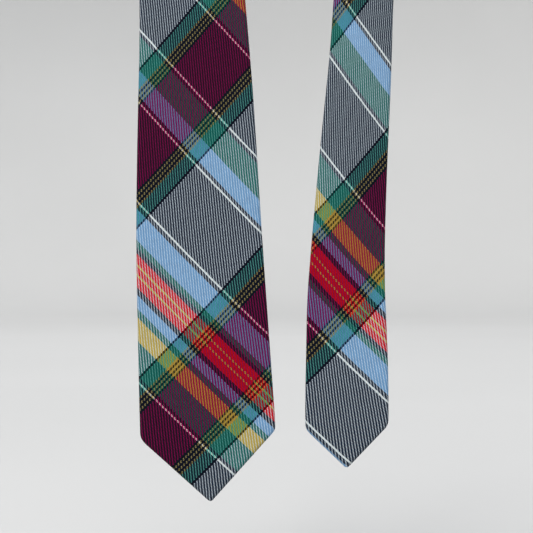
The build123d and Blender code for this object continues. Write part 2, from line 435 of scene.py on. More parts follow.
@dataclass(frozen=True)
class PlaidTwill:
    """Brushed wool in a two-and-two twill, read from the UV map's thread counts."""

    relief: float = 0.22 * MM
    relief_strength: float = 0.8
    shade_in_gaps: float = 0.22
    repeat: float = 4.0  # threads after which the twill starts again
    floats: float = 2.0  # of them, the ones that a yarn passes over
    ramp_threads: int = 128  # a ramp is kept as 256 samples, so two for each thread
    ramp_place: float = 0.75  # of a thread's width: the middle of its second sample
    wander: float = 0.88  # in threads, for a whole swing of the noise
    wander_scales: Point2 = (9.0, 13.0)  # of warp and weft
    clear: float = 0.86  # how much of its own light a yarn keeps at the top of a float
    crest: float = 2.2  # how fast it loses that light down the float's sides
    yarn_width: float = 0.92  # turns a yarn's round top into its place between two threads
    arch: float = 0.45  # how soon a float rises to its full height
    fibre_scale: float = 5200.0
    fibre_shade: Point2 = (0.55, 0.78)  # its part of the shade, and the shade without it
    fibre_relief: float = 0.5
    slub_scale: float = 320.0
    slub_shade: Point2 = (0.30, 0.86)

    def yarn_color(self, n: Nodes, count: object, sett: Sequence[Stripe]) -> Socket:
        """The yarn's colour at a thread count.

        Args:
            n: the material's builder.
            count: whole thread number.
            sett: the stripes, in order from thread 0.

        Returns:
            The colour.
        """
        total = sum(stripe.threads for stripe in sett)
        wrapped = n.math("FLOORED_MODULO", count, float(total))
        color = None
        for first in range(0, total, self.ramp_threads):
            shifted = n.math("SUBTRACT", wrapped, first - self.ramp_place)
            stops, at = [], 0
            for stripe in sett:
                low, high = max(at, first), min(at + stripe.threads, first + self.ramp_threads)
                if low < high:
                    stops.append(((low - first) / self.ramp_threads, stripe.yarn.value))
                at += stripe.threads
            part = n.ramp(n.math("DIVIDE", shifted, float(self.ramp_threads)), stops, hold=True)
            here = n.math("GREATER_THAN", wrapped, first - 0.5)
            color = n.mix(here, color, part) if color else part
        return color

    def lent(self, n: Nodes, color: object, height: object) -> Socket:
        """What the crossing yarn leaves of the light on this one: most at a float's top.

        Down the float's sides the crossing yarn's colour is multiplied in: partly its stray fibres, partly
        painted shade and light bounced off it.
        """
        kept = n.math("MULTIPLY", n.math("POWER", height, self.crest), self.clear)
        return n.mix(kept, color, WHITE)

    def float_height(self, n: Nodes, offset: object, phase: object) -> Socket:
        """The rise of a float: round across its yarn, arched along its two crossings.

        Args:
            n: the material's builder.
            offset: threads from the yarn's middle line.
            phase: threads along the yarn from where its float starts.

        Returns:
            The height, from 0 to 1.
        """
        across = n.math("COSINE", n.math("MULTIPLY", offset, math.pi * self.yarn_width))
        along = n.math("SINE", n.math("MULTIPLY", phase, math.pi / self.floats))
        arch = n.math("POWER", n.math("MAXIMUM", along, 0.0), self.arch)
        return n.math("MULTIPLY", n.math("MAXIMUM", across, 0.0), arch)

    def stray_threads(self, n: Nodes) -> list[Socket]:
        """Warp and weft counts from the UV map, with yarns that stray a little.

        Args:
            n: the material's builder.

        Returns:
            The two counts.
        """
        uv = n.node("UVMap", uv_map="Threads").outputs[0]
        split = n.node("SeparateXYZ")
        n.link(uv, split.inputs[0])
        strays = []
        setts = ((WARP, WARP_REPEAT), (WEFT, WEFT_REPEAT))
        for number, (sett, repeat) in enumerate(setts):
            wave = n.noise(uv, self.wander_scales[number])
            stray = n.math("MULTIPLY", n.math("SUBTRACT", wave, 0.5), self.wander)
            closeness = THREADS_PER_UV * sum(stripe.threads for stripe in sett) / repeat
            count = n.math("MULTIPLY", split.outputs[number], closeness)
            strays.append(n.math("ADD", count, stray))
        return strays

    def shaded(self, n: Nodes, color: object, height: object, fibres: object) -> Socket:
        """A colour, darker down in the gaps and uneven with fibres and slubs.

        Args:
            n: the material's builder.
            color: the yarn's colour.
            height: the weave's height, from 0 to 1.
            fibres: the fibres' noise.

        Returns:
            The shaded colour.
        """
        slub = n.noise(n.place(), self.slub_scale)
        depth = n.math("MULTIPLY_ADD", height, self.shade_in_gaps, 1.0 - self.shade_in_gaps)
        mottled = n.math("MULTIPLY", depth, n.math("MULTIPLY_ADD", fibres, *self.fibre_shade))
        uneven = n.math("MULTIPLY", mottled, n.math("MULTIPLY_ADD", slub, *self.slub_shade))
        shade = n.node("CombineColor")
        for socket in shade.inputs[:3]:
            n.link(uneven, socket)
        return n.mix(1.0, color, shade.outputs[0], "MULTIPLY")

    def build(self, name: str) -> Material:
        """Makes the material.

        Args:
            name: its name.

        Returns:
            The material.
        """
        n = Nodes(name)
        warp, weft = self.stray_threads(n)
        warp_no, weft_no = n.math("FLOOR", warp), n.math("FLOOR", weft)
        warp_off = n.math("SUBTRACT", n.math("SUBTRACT", warp, warp_no), 0.5)
        weft_off = n.math("SUBTRACT", n.math("SUBTRACT", weft, weft_no), 0.5)
        warp_phase = n.math("FLOORED_MODULO", n.math("ADD", weft, warp_no), self.repeat)
        weft_turn = n.math("FLOORED_MODULO", n.math("ADD", warp, weft_no), self.repeat)
        weft_phase = n.math("SUBTRACT", weft_turn, self.floats)
        turn = n.math("FLOORED_MODULO", n.math("ADD", warp_no, weft_no), self.repeat)
        warp_on_top = n.math("LESS_THAN", turn, self.floats - 0.5)
        warp_height = self.float_height(n, warp_off, warp_phase)
        weft_height = self.float_height(n, weft_off, weft_phase)
        height = n.choose(warp_on_top, weft_height, warp_height)

        warp_color = self.yarn_color(n, warp_no, WARP)
        weft_color = self.yarn_color(n, weft_no, WEFT)
        # down a float's sides the crossing yarn's colour is multiplied in: its stray fibres, plus painted
        # shade and bounced light
        warp_seen = n.mix(1.0, warp_color, self.lent(n, weft_color, warp_height), "MULTIPLY")
        weft_seen = n.mix(1.0, weft_color, self.lent(n, warp_color, weft_height), "MULTIPLY")
        color = n.mix(warp_on_top, weft_seen, warp_seen)

        fibres = n.noise(n.place(), self.fibre_scale, 3.0)
        color = self.shaded(n, color, height, fibres)
        relief = n.math("ADD", height, n.math("MULTIPLY", fibres, self.fibre_relief))
        normal = n.bump(relief, self.relief, self.relief_strength)
        return n.cloth(color, normal, roughness=0.85, sheen=0.012, shine=0.04)


@dataclass(frozen=True)
class BrushedWool:
    """The thick undyed felt-like cloth inside the tie, with painted shade between its weave's ribs."""

    color: Color = (0.56, 0.52, 0.43, 1.0)
    # darker down between the weave's ribs, a painted shade, and with the hairs' own tone
    shade_and_hair_tone: Color = (0.36, 0.33, 0.26, 1.0)
    hair_scale: float = 2600.0
    weave_scale: float = 260.0
    weave_share: float = 0.35  # of the mixed pattern; hairs are the rest
    relief: float = 0.3 * MM

    def build(self, name: str) -> Material:
        """Makes the material.

        Args:
            name: its name.

        Returns:
            The material.
        """
        n = Nodes(name)
        place = n.place()
        hairs = n.math("MULTIPLY", n.noise(place, self.hair_scale, 5.0), 1.0 - self.weave_share)
        weave = n.slanting_rib(place, self.weave_scale, 3.0)
        mixed = n.math("MULTIPLY_ADD", weave, self.weave_share, hairs)
        # painted shade: the low places of the weave, which the bump sinks, get the darker colour; the hairs
        # vary the tone
        color = n.ramp(mixed, [(0.25, self.shade_and_hair_tone), (0.75, self.color)], hold=False)
        return n.cloth(color, n.bump(mixed, self.relief, 0.7), roughness=0.95, sheen=0.3)


@dataclass(frozen=True)
class LiningSatin:
    """Navy lining with a fine slanting rib, with a painted highlight along the rib's crests and painted
    sheen in broad soft patches.
    """

    color: Color = (0.005, 0.008, 0.028, 1.0)
    # lighter colour: painted highlight on the rib's crests, painted sheen in broad patches, and the slubs'
    # own lighter tone
    sheen_and_slub: Color = (0.024, 0.036, 0.095, 1.0)
    rib_scale: float = 520.0
    # size of the broad patches of painted sheen
    sheen_patch_scale: float = 40.0
    slub_scale: float = 1900.0
    relief: float = 0.12 * MM

    def build(self, name: str) -> Material:
        """Makes the material.

        Args:
            name: its name.

        Returns:
            The material.
        """
        n = Nodes(name)
        place = n.place()
        rib = n.slanting_rib(place, self.rib_scale, 0.8)
        sheen_patches = n.noise(place, self.sheen_patch_scale, 4.0)
        slub = n.noise(place, self.slub_scale, 3.0)
        # the rib's crests and the broad patches lighten the colour as painted highlight and sheen; the slubs
        # vary its tone
        mixed = n.math("MULTIPLY_ADD", rib, 0.45, n.math("MULTIPLY_ADD", sheen_patches, 0.5, slub))
        shares = n.math("MULTIPLY", mixed, 0.6)
        color = n.ramp(shares, [(0.28, self.color), (0.85, self.sheen_and_slub)], hold=False)
        relief = n.math("MULTIPLY_ADD", slub, 0.4, rib)
        normal = n.bump(relief, self.relief, 0.8)
        return n.cloth(color, normal, roughness=0.30, sheen=0.01, shine=0.22)


@dataclass(frozen=True)
class TwistedThread:
    """Sewing thread: two plies, twisted, with a painted highlight along each ply's crest and painted shade
    between them.
    """

    color: Color = (0.016, 0.022, 0.055, 1.0)
    # lighter along each ply's crest, a painted highlight, and with the hairs' own tone
    light: Color = (0.060, 0.075, 0.140, 1.0)
    ply_scale: float = 620.0
    hair_scale: float = 4200.0
    relief: float = 0.1 * MM

    def build(self, name: str) -> Material:
        """Makes the material.

        Args:
            name: its name.

        Returns:
            The material.
        """
        n = Nodes(name)
        place = n.place()
        ply = n.slanting_rib(place, self.ply_scale)
        hair = n.noise(place, self.hair_scale, 3.0)
        mixed = n.math("MULTIPLY_ADD", ply, 0.6, n.math("MULTIPLY", hair, 0.4))
        # the plies' crests are painted lighter and the grooves between them darker: painted highlight and
        # shade
        color = n.ramp(mixed, [(0.2, self.color), (0.8, self.light)], hold=False)
        return n.cloth(color, n.bump(mixed, self.relief, 0.7), roughness=0.6, sheen=0.15)


@dataclass(frozen=True)
class LabelWeave:
    """A blank woven label: navy satin with a lighter woven edge along its two long sides, and painted shade
    down between its ribs and picks.
    """

    color: Color = (0.014, 0.020, 0.056, 1.0)
    edge: Color = (0.300, 0.290, 0.240, 1.0)
    edge_width: float = 0.07  # share of the label's height
    rib_count: int = 62
    pick_count: int = 150
    relief: float = 0.04 * MM
    # multiplies the colour down between the ribs and picks: painted shade
    gap_shade: Color = (0.72, 0.72, 0.72, 1.0)

    def build(self, name: str) -> Material:
        """Makes the material.

        Args:
            name: its name.

        Returns:
            The material.
        """
        n = Nodes(name)
        uv = n.node("UVMap", uv_map="Threads").outputs[0]
        split = n.node("SeparateXYZ")
        n.link(uv, split.inputs[0])
        from_middle = n.math("ABSOLUTE", n.math("SUBTRACT", split.outputs[1], 0.5))
        inner = n.math("GREATER_THAN", from_middle, 0.5 - 2 * self.edge_width)
        outer = n.math("LESS_THAN", from_middle, 0.5 - self.edge_width)
        band = n.math("MULTIPLY", inner, outer)
        ribs = n.math("SINE", n.math("MULTIPLY", split.outputs[1], 2 * math.pi * self.rib_count))
        picks = n.math("SINE", n.math("MULTIPLY", split.outputs[0], 2 * math.pi * self.pick_count))
        relief = n.math("MULTIPLY_ADD", picks, 0.3, ribs)
        woven = n.mix(band, self.color, self.edge)
        # painted shade: darker down between the ribs and picks, where the bump sinks
        shade = n.ramp(relief, [(0.0, self.gap_shade), (1.0, WHITE)], hold=False)
        color = n.mix(1.0, woven, shade, "MULTIPLY")
        return n.cloth(color, n.bump(relief, self.relief, 0.6), roughness=0.45, sheen=0.1)


@dataclass(frozen=True)
class PalePaper:
    """The studio's plain pale floor and wall."""

    color: Color = (0.44, 0.44, 0.435, 1.0)
    shaded: Color = (0.425, 0.425, 0.42, 1.0)
    mottle_scale: float = 1.2
    tooth_scale: float = 160.0
    tooth: float = 0.5 * MM

    def build(self, name: str) -> Material:
        """Makes the material.

        Args:
            name: its name.

        Returns:
            The material.
        """
        n = Nodes(name)
        place = n.place()
        mottle = n.noise(place, self.mottle_scale, 3.0)
        color = n.ramp(mottle, [(0.3, self.shaded), (0.7, self.color)], hold=False)
        normal = n.bump(n.noise(place, self.tooth_scale), self.tooth, 0.05)
        return n.cloth(color, normal, roughness=0.9, sheen=0.0)


class Finish(Enum):
    """Every finish of the scene."""

    PLAID = PlaidTwill()
    INTERLINING = BrushedWool()
    LINING = LiningSatin()
    THREAD = TwistedThread()
    LABEL = LabelWeave()
    STUDIO = PalePaper()


class Wardrobe:
    """Makes each finish's material once."""

    def __init__(self) -> None:
        """Starts empty."""
        self.made: dict[Finish, Material] = {}

    def material(self, finish: Finish) -> Material:
        """The material of a finish.

        Args:
            finish: the finish.

        Returns:
            Its material, the same one each time.
        """
        if finish not in self.made:
            self.made[finish] = finish.value.build(finish.name.lower())
        return self.made[finish]

    def dress(self, piece: Piece, finish: Finish) -> None:
        """Gives a piece one finish."""
        piece.data.materials.clear()
        piece.data.materials.append(self.material(finish))


# -------- mesh making


@dataclass
class ClothMesh:
    """A sheet of cloth made of rows of points, with thread counts on each face corner."""

    name: str
    vertices: list[Vector] = field(default_factory=list)
    faces: list[tuple[int, ...]] = field(default_factory=list)
    corners: list[tuple[Point2, ...]] = field(default_factory=list)
    crease: float = math.radians(55)  # edges sharper than this stay sharp

    def add_rows(
        self, rows: Sequence[Sequence[Vector]], counts: Iterable[tuple[list[Point2], list[Point2]]]
    ) -> None:
        """Joins rows of points into quads.

        Args:
            rows: rows of equal length.
            counts: for each strip between two rows, the UVs along its first and second row.
        """
        first = len(self.vertices)
        wide = len(rows[0])
        for row in rows:
            self.vertices.extend(row)
        for number, (low, high) in enumerate(counts):
            for k in range(wide - 1):
                a = first + number * wide + k
                self.faces.append((a, a + 1, a + wide + 1, a + wide))
                self.corners.append((low[k], low[k + 1], high[k + 1], high[k]))

    def build(self, thickness: float) -> Piece:
        """Makes the piece.

        Args:
            thickness: the cloth's, given evenly to both of its sides.

        Returns:
            The piece, with its thickness in the mesh.
        """
        mesh = bpy.data.meshes.new(self.name)
        mesh.from_pydata(self.vertices, [], self.faces)
        uv = mesh.uv_layers.new(name="Threads")
        for polygon, corner in zip(mesh.polygons, self.corners):
            for loop, value in zip(polygon.loop_indices, corner):
                uv.data[loop].uv = value
        shaped = bmesh.new()
        shaped.from_mesh(mesh)
        bmesh.ops.remove_doubles(shaped, verts=shaped.verts, dist=SAME_PLACE)
        bmesh.ops.dissolve_degenerate(shaped, edges=shaped.edges, dist=SAME_PLACE)
        shaped.to_mesh(mesh)
        shaped.free()
        piece = bpy.data.objects.new(self.name, mesh)
        bpy.context.collection.objects.link(piece)
        layer = piece.modifiers.new("cloth", "SOLIDIFY")
        layer.thickness = thickness
        layer.offset = 0.0
        layer.use_even_offset = False
        select_only(piece)
        bpy.ops.object.modifier_apply(modifier=layer.name)
        face_outward(piece)
        smooth_by_angle(piece, self.crease)
        return piece


def deselect_all() -> None:
    """Leaves nothing selected."""
    for other in bpy.context.selected_objects:
        other.select_set(False)


def select_only(piece: Piece) -> None:
    """Makes a piece the only selected and the active one.

    Args:
        piece: the piece.
    """
    deselect_all()
    piece.select_set(True)
    bpy.context.view_layer.objects.active = piece


def face_outward(piece: Piece) -> None:
    """Turns a closed piece's faces outward.

    Args:
        piece: the piece.
    """
    shaped = bmesh.new()
    shaped.from_mesh(piece.data)
    bmesh.ops.recalc_face_normals(shaped, faces=shaped.faces)
    shaped.to_mesh(piece.data)
    shaped.free()


def smooth_by_angle(piece: Piece, angle: float) -> None:
    """Smooths a piece except over edges sharper than an angle."""
    select_only(piece)
    bpy.ops.object.shade_smooth_by_angle(angle=angle)


# -------- cloth sizes and the tie's course


@dataclass(frozen=True)
class Layers:
    """The layers through the tie, in metres, as its solids have them."""

    cloth: float = 0.8 * MM
    interlining: float = 2.0 * MM
    tipping: float = 0.25 * MM
    gap: float = 0.1 * MM
    drawn_cloth: float = 0.6 * MM  # the shell's cloth, as soft cloth folds
    crown: float = 0.7 * MM  # how far the middle of the front stands proud of its edges

    @property
    def thickness(self) -> float:
        """Front to back."""
        return 2 * self.cloth + self.interlining + self.tipping + 3 * self.gap

    @property
    def half(self) -> float:
        """From the middle of the tie to the middle of the shell's cloth."""
        return self.thickness / 2 - self.drawn_cloth / 2


LAYERS = Layers()


@dataclass(frozen=True)
class Bend:
    """One stretch of the neckband: a length that turns on rulings at an angle to its run, or lies flat."""

    length: float
    radius: float = 0.0
    ruling: float = math.pi / 2


@dataclass
class NeckCourse:
    """The neckband's course from the nape to a hinge, and the cloth that lies on it."""

    nape_width: float = 34.0 * MM
    collar_radius: float = 47.0 * MM
    collar_angle: float = math.radians(35)
    nape_run: float = 24.0 * MM
    roll_radius: float = 16.0 * MM
    shoulder_run: float = 30.0 * MM
    chest_radius: float = 45.0 * MM
    hang_run: float = 35.0 * MM
    hinge_gap: float = 1.6 * MM

    def __post_init__(self) -> None:
        """Works out where each stretch starts."""
        lean = math.atan(math.cos(self.collar_angle))
        turn = math.acos(-math.cos(self.collar_angle) ** 2)
        self.bends = [
            Bend(self.collar_radius * self.collar_angle, self.collar_radius),
            Bend(self.nape_run),
            Bend(self.roll_radius * turn / math.sin(lean), self.roll_radius, lean),
            Bend(self.shoulder_run),
            Bend(self.chest_radius * self.collar_angle, self.chest_radius),
            Bend(self.hang_run),
        ]
        self.length = sum(bend.length for bend in self.bends)
        point = Vector((0, self.collar_radius, 0))
        axes = (Vector((-1, 0, 0)), Vector((0, 1, 0)), Vector((0, 0, -1)))
        self.starts = []
        at = 0.0
        for bend in self.bends:
            self.starts.append((at, point, axes))
            point, axes = self.along(bend, point, axes, bend.length)
            at += bend.length
        self.starts.append((at, point, axes))

    @staticmethod
    def along(
        bend: Bend, point: Vector, axes: Sequence[Vector], run: float
    ) -> tuple[Vector, tuple[Vector, ...]]:
        """Moves along a stretch from its start.

        Args:
            bend: the stretch.
            point: where it starts.
            axes: its tangent, normal and across directions there.
            run: how far to go along its middle.

        Returns:
            The new point and directions.
        """
        tangent, normal, across = axes
        if not bend.radius:
            return point + tangent * run, tuple(axes)
        line = tangent * math.cos(bend.ruling) + across * math.sin(bend.ruling)
        angle = run * math.sin(bend.ruling) / bend.radius
        spin = Quaternion(line, -angle)
        centre = point - normal * bend.radius
        slide = line * (bend.radius * angle / math.tan(bend.ruling))
        return centre + spin @ (point - centre) + slide, tuple(spin @ axis for axis in axes)

    def lay(self, distance: float, inward: float, outward: float) -> Vector:
        """Places a point of flat cloth on the neckband.

        Args:
            distance: along the middle from the nape, positive to the blade and negative to the tail.
            inward: across the band, positive towards the collar's lower opening.
            outward: off the band's middle surface, positive to the side that shows.

        Returns:
            The place in the row frame.
        """
        far, across = abs(distance), -inward
        number = 0
        for k in range(1, len(self.bends)):
            ruling = min(self.bends[k - 1].ruling, self.bends[k].ruling)
            if far - across / math.tan(ruling) >= self.starts[k][0]:
                number = k
        bend = self.bends[number]
        at, point, axes = self.starts[number]
        if bend.radius:
            on_line = far - across / math.tan(bend.ruling)
            point, axes = self.along(bend, point, axes, on_line - at)
            line = axes[0] * math.cos(bend.ruling) + axes[2] * math.sin(bend.ruling)
            place = point + line * (across / math.sin(bend.ruling))
        else:
            place = point + axes[0] * (far - at) + axes[2] * across
        place = place + axes[1] * outward
        return Vector((-place.x, place.y, place.z)) if distance < 0 else place

    def width(self, far: float, hinge_width: float) -> float:
        """The band's width at a distance from the nape."""
        return self.nape_width + (hinge_width - self.nape_width) * far / (self.length - self.hinge_gap)


NECK = NeckCourse()
PAST_SEAM = 31.0 * MM  # how far an end's shell and felt run on, up into the neckband
FELT_SHORT = 0.5 * MM  # between the felt's end and the shell's, on each side of where they meet
FELT_DEPTH = -0.30 * MM  # of the felt's middle, behind the tie's middle plane


@dataclass
class HangingEnd:
    """One hanging end: its outline as the solids have it, and how its cloth lies."""

    name: str
    side: int
    reach: float
    hinge_width: float
    sway: list[Point2]
    widths: list[Point2]
    lean: float
    opening_rise: float
    tipping_rise: float
    shoulder_radii: dict[int, float]
    grain: Grain
    joint: str
    point_radius: float = 2.5 * MM
    hem: float = 9.0 * MM
    half_point: float = math.radians(45)
    shoulder_blend: float = 0.4  # of a shoulder's radius
    shoulder_rounds: int = 12  # until a shoulder's height has settled
    probe: float = 0.2 * MM  # half the step over which the outline's direction is read
    least_slope: float = 0.3  # keeps an inset small where the outline is nearly level

    def __post_init__(self) -> None:
        """Ties the end to its hinge."""
        self.hinge = hinge_of(self.joint)
        self.length = self.reach - NECK.length
        self.sway.append((self.length, self.side * abs(self.hinge.x)))
        self.widths.append((self.length, self.hinge_width))
        self.shoulders = {hand: self.find_shoulder(hand) for hand in (-1, 1)}

    def middle(self, rise: float) -> float:
        """X of the middle line at a height above the point."""
        return smooth_knots(self.sway, rise)

    def width(self, rise: float) -> float:
        """The end's width; past the hinge it is the neckband's.

        Args:
            rise: height above the sharp point.

        Returns:
            The width.
        """
        if rise > self.length:
            return NECK.width(NECK.length - (rise - self.length), self.hinge_width)
        return smooth_knots(self.widths, rise)

    def slope(self, hand: int) -> float:
        """How far a sloping edge of the point goes sideways for each metre up."""
        return math.tan(self.half_point - hand * self.lean)

    def find_shoulder(self, hand: int) -> float:
        """Where a sloping edge meets the long edge.

        Args:
            hand: -1 for the left edge and +1 for the right.

        Returns:
            Its height above the sharp point.
        """
        rise = 0.0
        for _ in range(self.shoulder_rounds):
            edge = self.middle(rise) + hand * self.width(rise) / 2
            rise = abs(edge - self.middle(0)) / self.slope(hand)
        return rise

    def edge(self, hand: int, rise: float) -> float:
        """X of the outline, with its corners rounded.

        Args:
            hand: -1 for the left edge and +1 for the right.
            rise: height above the sharp point.

        Returns:
            X in the row frame.
        """
        radius = self.point_radius
        centre = radius / math.sin(self.half_point)
        tangent = centre - radius * math.sin(self.half_point)
        slope = self.slope(hand)
        if rise < tangent:
            low = centre - radius
            reach = math.sqrt(max(radius**2 - (centre - max(rise, low)) ** 2, 0.0)) * slope
        else:
            reach = rise * slope
        sloping = hand * (self.middle(0) - self.middle(rise)) + reach
        away = soft_min(sloping, self.width(rise) / 2, self.shoulder_blend * self.shoulder_radii[hand])
        return self.middle(rise) + hand * away

    def outward(self, hand: int, rise: float) -> Vector:
        """The outline's outward normal in the plane of the end.

        Args:
            hand: -1 for the left edge and +1 for the right.
            rise: height above the sharp point.

        Returns:
            The normal, as (x, rise).
        """
        run = self.edge(hand, rise + self.probe) - self.edge(hand, rise - self.probe)
        return Vector((hand * 2 * self.probe, -hand * run)).normalized()

    def inset_edge(self, hand: int, rise: float, inset: float) -> float:
        """X of a line that follows the outline on its inside.

        Args:
            hand: -1 for the left edge and +1 for the right.
            rise: height above the sharp point.
            inset: how far inside the outline it lies.

        Returns:
            X in the row frame.
        """
        slope = max(abs(self.outward(hand, rise).x), self.least_slope)
        return self.edge(hand, rise) - hand * inset / slope

    def lowest(self) -> float:
        """Height of the rounded point above the sharp one."""
        return self.point_radius / math.sin(self.half_point) - self.point_radius

    def place(self, x: float, rise: float, back: float) -> Vector:
        """A place from X, height above the point and depth behind the middle plane."""
        return Vector((x, self.hinge.y + back, self.hinge.z - self.length + rise))


def make_blade() -> HangingEnd:
    """The wide end.

    Returns:
        The end, in metres.
    """
    return HangingEnd(
        name="blade",
        side=-1,
        reach=735 * MM,
        hinge_width=48 * MM,
        sway=[(0, -0.0400), (0.046, -0.0418), (0.156, -0.0467), (0.299, -0.0509)],
        widths=[
            (0, 0.0810), (0.046, 0.0806), (0.085, 0.0788), (0.156, 0.0750), (0.228, 0.0696), (0.299, 0.0630),
        ],
        lean=math.radians(3.2),
        opening_rise=92 * MM,
        tipping_rise=125 * MM,
        shoulder_radii={-1: 9 * MM, 1: 5 * MM},
        grain=BLADE_GRAIN,
        joint="blade_swing",
    )


def make_tail() -> HangingEnd:
    """The narrow end.

    Returns:
        The end, in metres.
    """
    return HangingEnd(
        name="tail",
        side=1,
        reach=715 * MM,
        hinge_width=34 * MM,
        sway=[
            (0, 0.0409), (0.065, 0.0410), (0.110, 0.0408), (0.172, 0.0440), (0.243, 0.0490), (0.279, 0.0509),
        ],
        widths=[
            (0, 0.0486), (0.038, 0.0496), (0.085, 0.0476), (0.136, 0.0436), (0.208, 0.0395), (0.279, 0.0357),
        ],
        lean=math.radians(1.4),
        opening_rise=62 * MM,
        tipping_rise=88 * MM,
        shoulder_radii={-1: 7 * MM, 1: 6 * MM},
        grain=TAIL_GRAIN,
        joint="tail_swing",
    )


@dataclass(frozen=True)
class Fold:
    """The shell's cross-section: front, two rolled edges, and two flaps that meet up the back.

    The outer flap laps over the inner one with a turned edge, as the slip stitch draws it.
    """

    front_columns: int = 26
    roll_columns: int = 7
    flap_columns: int = 12
    lap: float = 1.6 * MM
    under: float = 4.5 * MM
    turn: float = 4.0 * MM
    turn_share: float = 0.6  # of the flap's own width, at most
    lift: float = 1.25 * MM
    lift_level: float = 4.0 * MM  # from the lapping edge to where its lift starts to fall
    lift_end: float = 15.0 * MM
    turned_gap: float = 0.62 * MM
    turned_edge: float = 0.45 * MM
    small_reach: float = 4.0 * MM  # half widths under this have a smaller turned edge
    flap_crowding: float = 1.25  # draws the flaps' columns towards their turned edges
    front_crowding: float = 0.25  # draws the front's columns towards the rolled edges
    crown_power: float = 1.5

    def raised(self, away: float) -> float:
        """How much of the lap's lift is left, from 1 to 0, at a distance from the lapping edge."""
        return 1 - ease(self.lift_level, self.lift_end, away)

    def section(self, half: float, rolls: Point2, depth: float, flaps: Point2, lapped: float) -> list[tuple]:
        """Points of one cross-section, from the outer flap's turned edge round to the inner flap's.

        Args:
            half: half of the outline's width at the middle of the cloth.
            rolls: sideways reach of the outer and inner rolled edge.
            depth: half of the tie's depth at the middle of the cloth.
            flaps: where the outer and inner flaps' edges lie, inward from the outline's middle.
            lapped: 1 where the outer flap laps over the inner one, 0 where they stand apart.

        Returns:
            (inward, back, zone, angle) for each point: its place inward of the middle and behind
            it, the zone (-2 and 2 flaps, -1 and 1 rolls, 0 front) and the angle round the roll.
        """
        points = []
        left, right = flaps
        reach = half - rolls[0]
        small = min(1.0, max(reach, 0.0) / self.small_reach)
        turn = min(self.turn, max(reach + left, 0.0) * self.turn_share) * small
        lift = self.lift * lapped
        gap = self.turned_gap * small
        near = self.turned_edge * small
        points.append((left - turn, depth + lift - gap, -2, math.pi))
        points.append((left - near, depth + lift - gap, -2, math.pi))
        points.append((left, depth + lift - gap / 2, -2, math.pi))
        for k in range(self.flap_columns + 1):
            t = k / self.flap_columns
            x = (left - near) + (-reach - left + near) * t**self.flap_crowding
            points.append((x, depth + lift * self.raised(left - x), -2, math.pi))
        for k in range(1, self.roll_columns):
            angle = math.pi * (1 - k / self.roll_columns)
            x = -reach - rolls[0] * math.sin(angle)
            points.append((x, -depth * math.cos(angle), -1, angle))
        for k in range(self.front_columns + 1):
            t = k / self.front_columns
            eased = (1 - self.front_crowding) * t + self.front_crowding * ease(0, 1, t)
            x = -reach + (2 * half - rolls[0] - rolls[1]) * eased
            crown = LAYERS.crown * (1 - (x / half) ** 2) ** self.crown_power
            points.append((x, -depth - crown * min(1.0, depth / LAYERS.half), 0, 0.0))
        reach = half - rolls[1]
        for k in range(1, self.roll_columns):
            angle = math.pi * k / self.roll_columns
            x = reach + rolls[1] * math.sin(angle)
            points.append((x, -depth * math.cos(angle), 1, angle))
        turn = min(self.turn, max(reach - right, 0.0) * self.turn_share) * small
        for k in range(self.flap_columns + 1):
            t = 1 - k / self.flap_columns
            x = (right + near) + (reach - right - near) * t**self.flap_crowding
            points.append((x, depth, 2, math.pi))
        points.append((right, depth - gap / 2, 2, math.pi))
        points.append((right + near, depth - gap, 2, math.pi))
        points.append((right + turn, depth - gap, 2, math.pi))
        return points


FOLD = Fold()


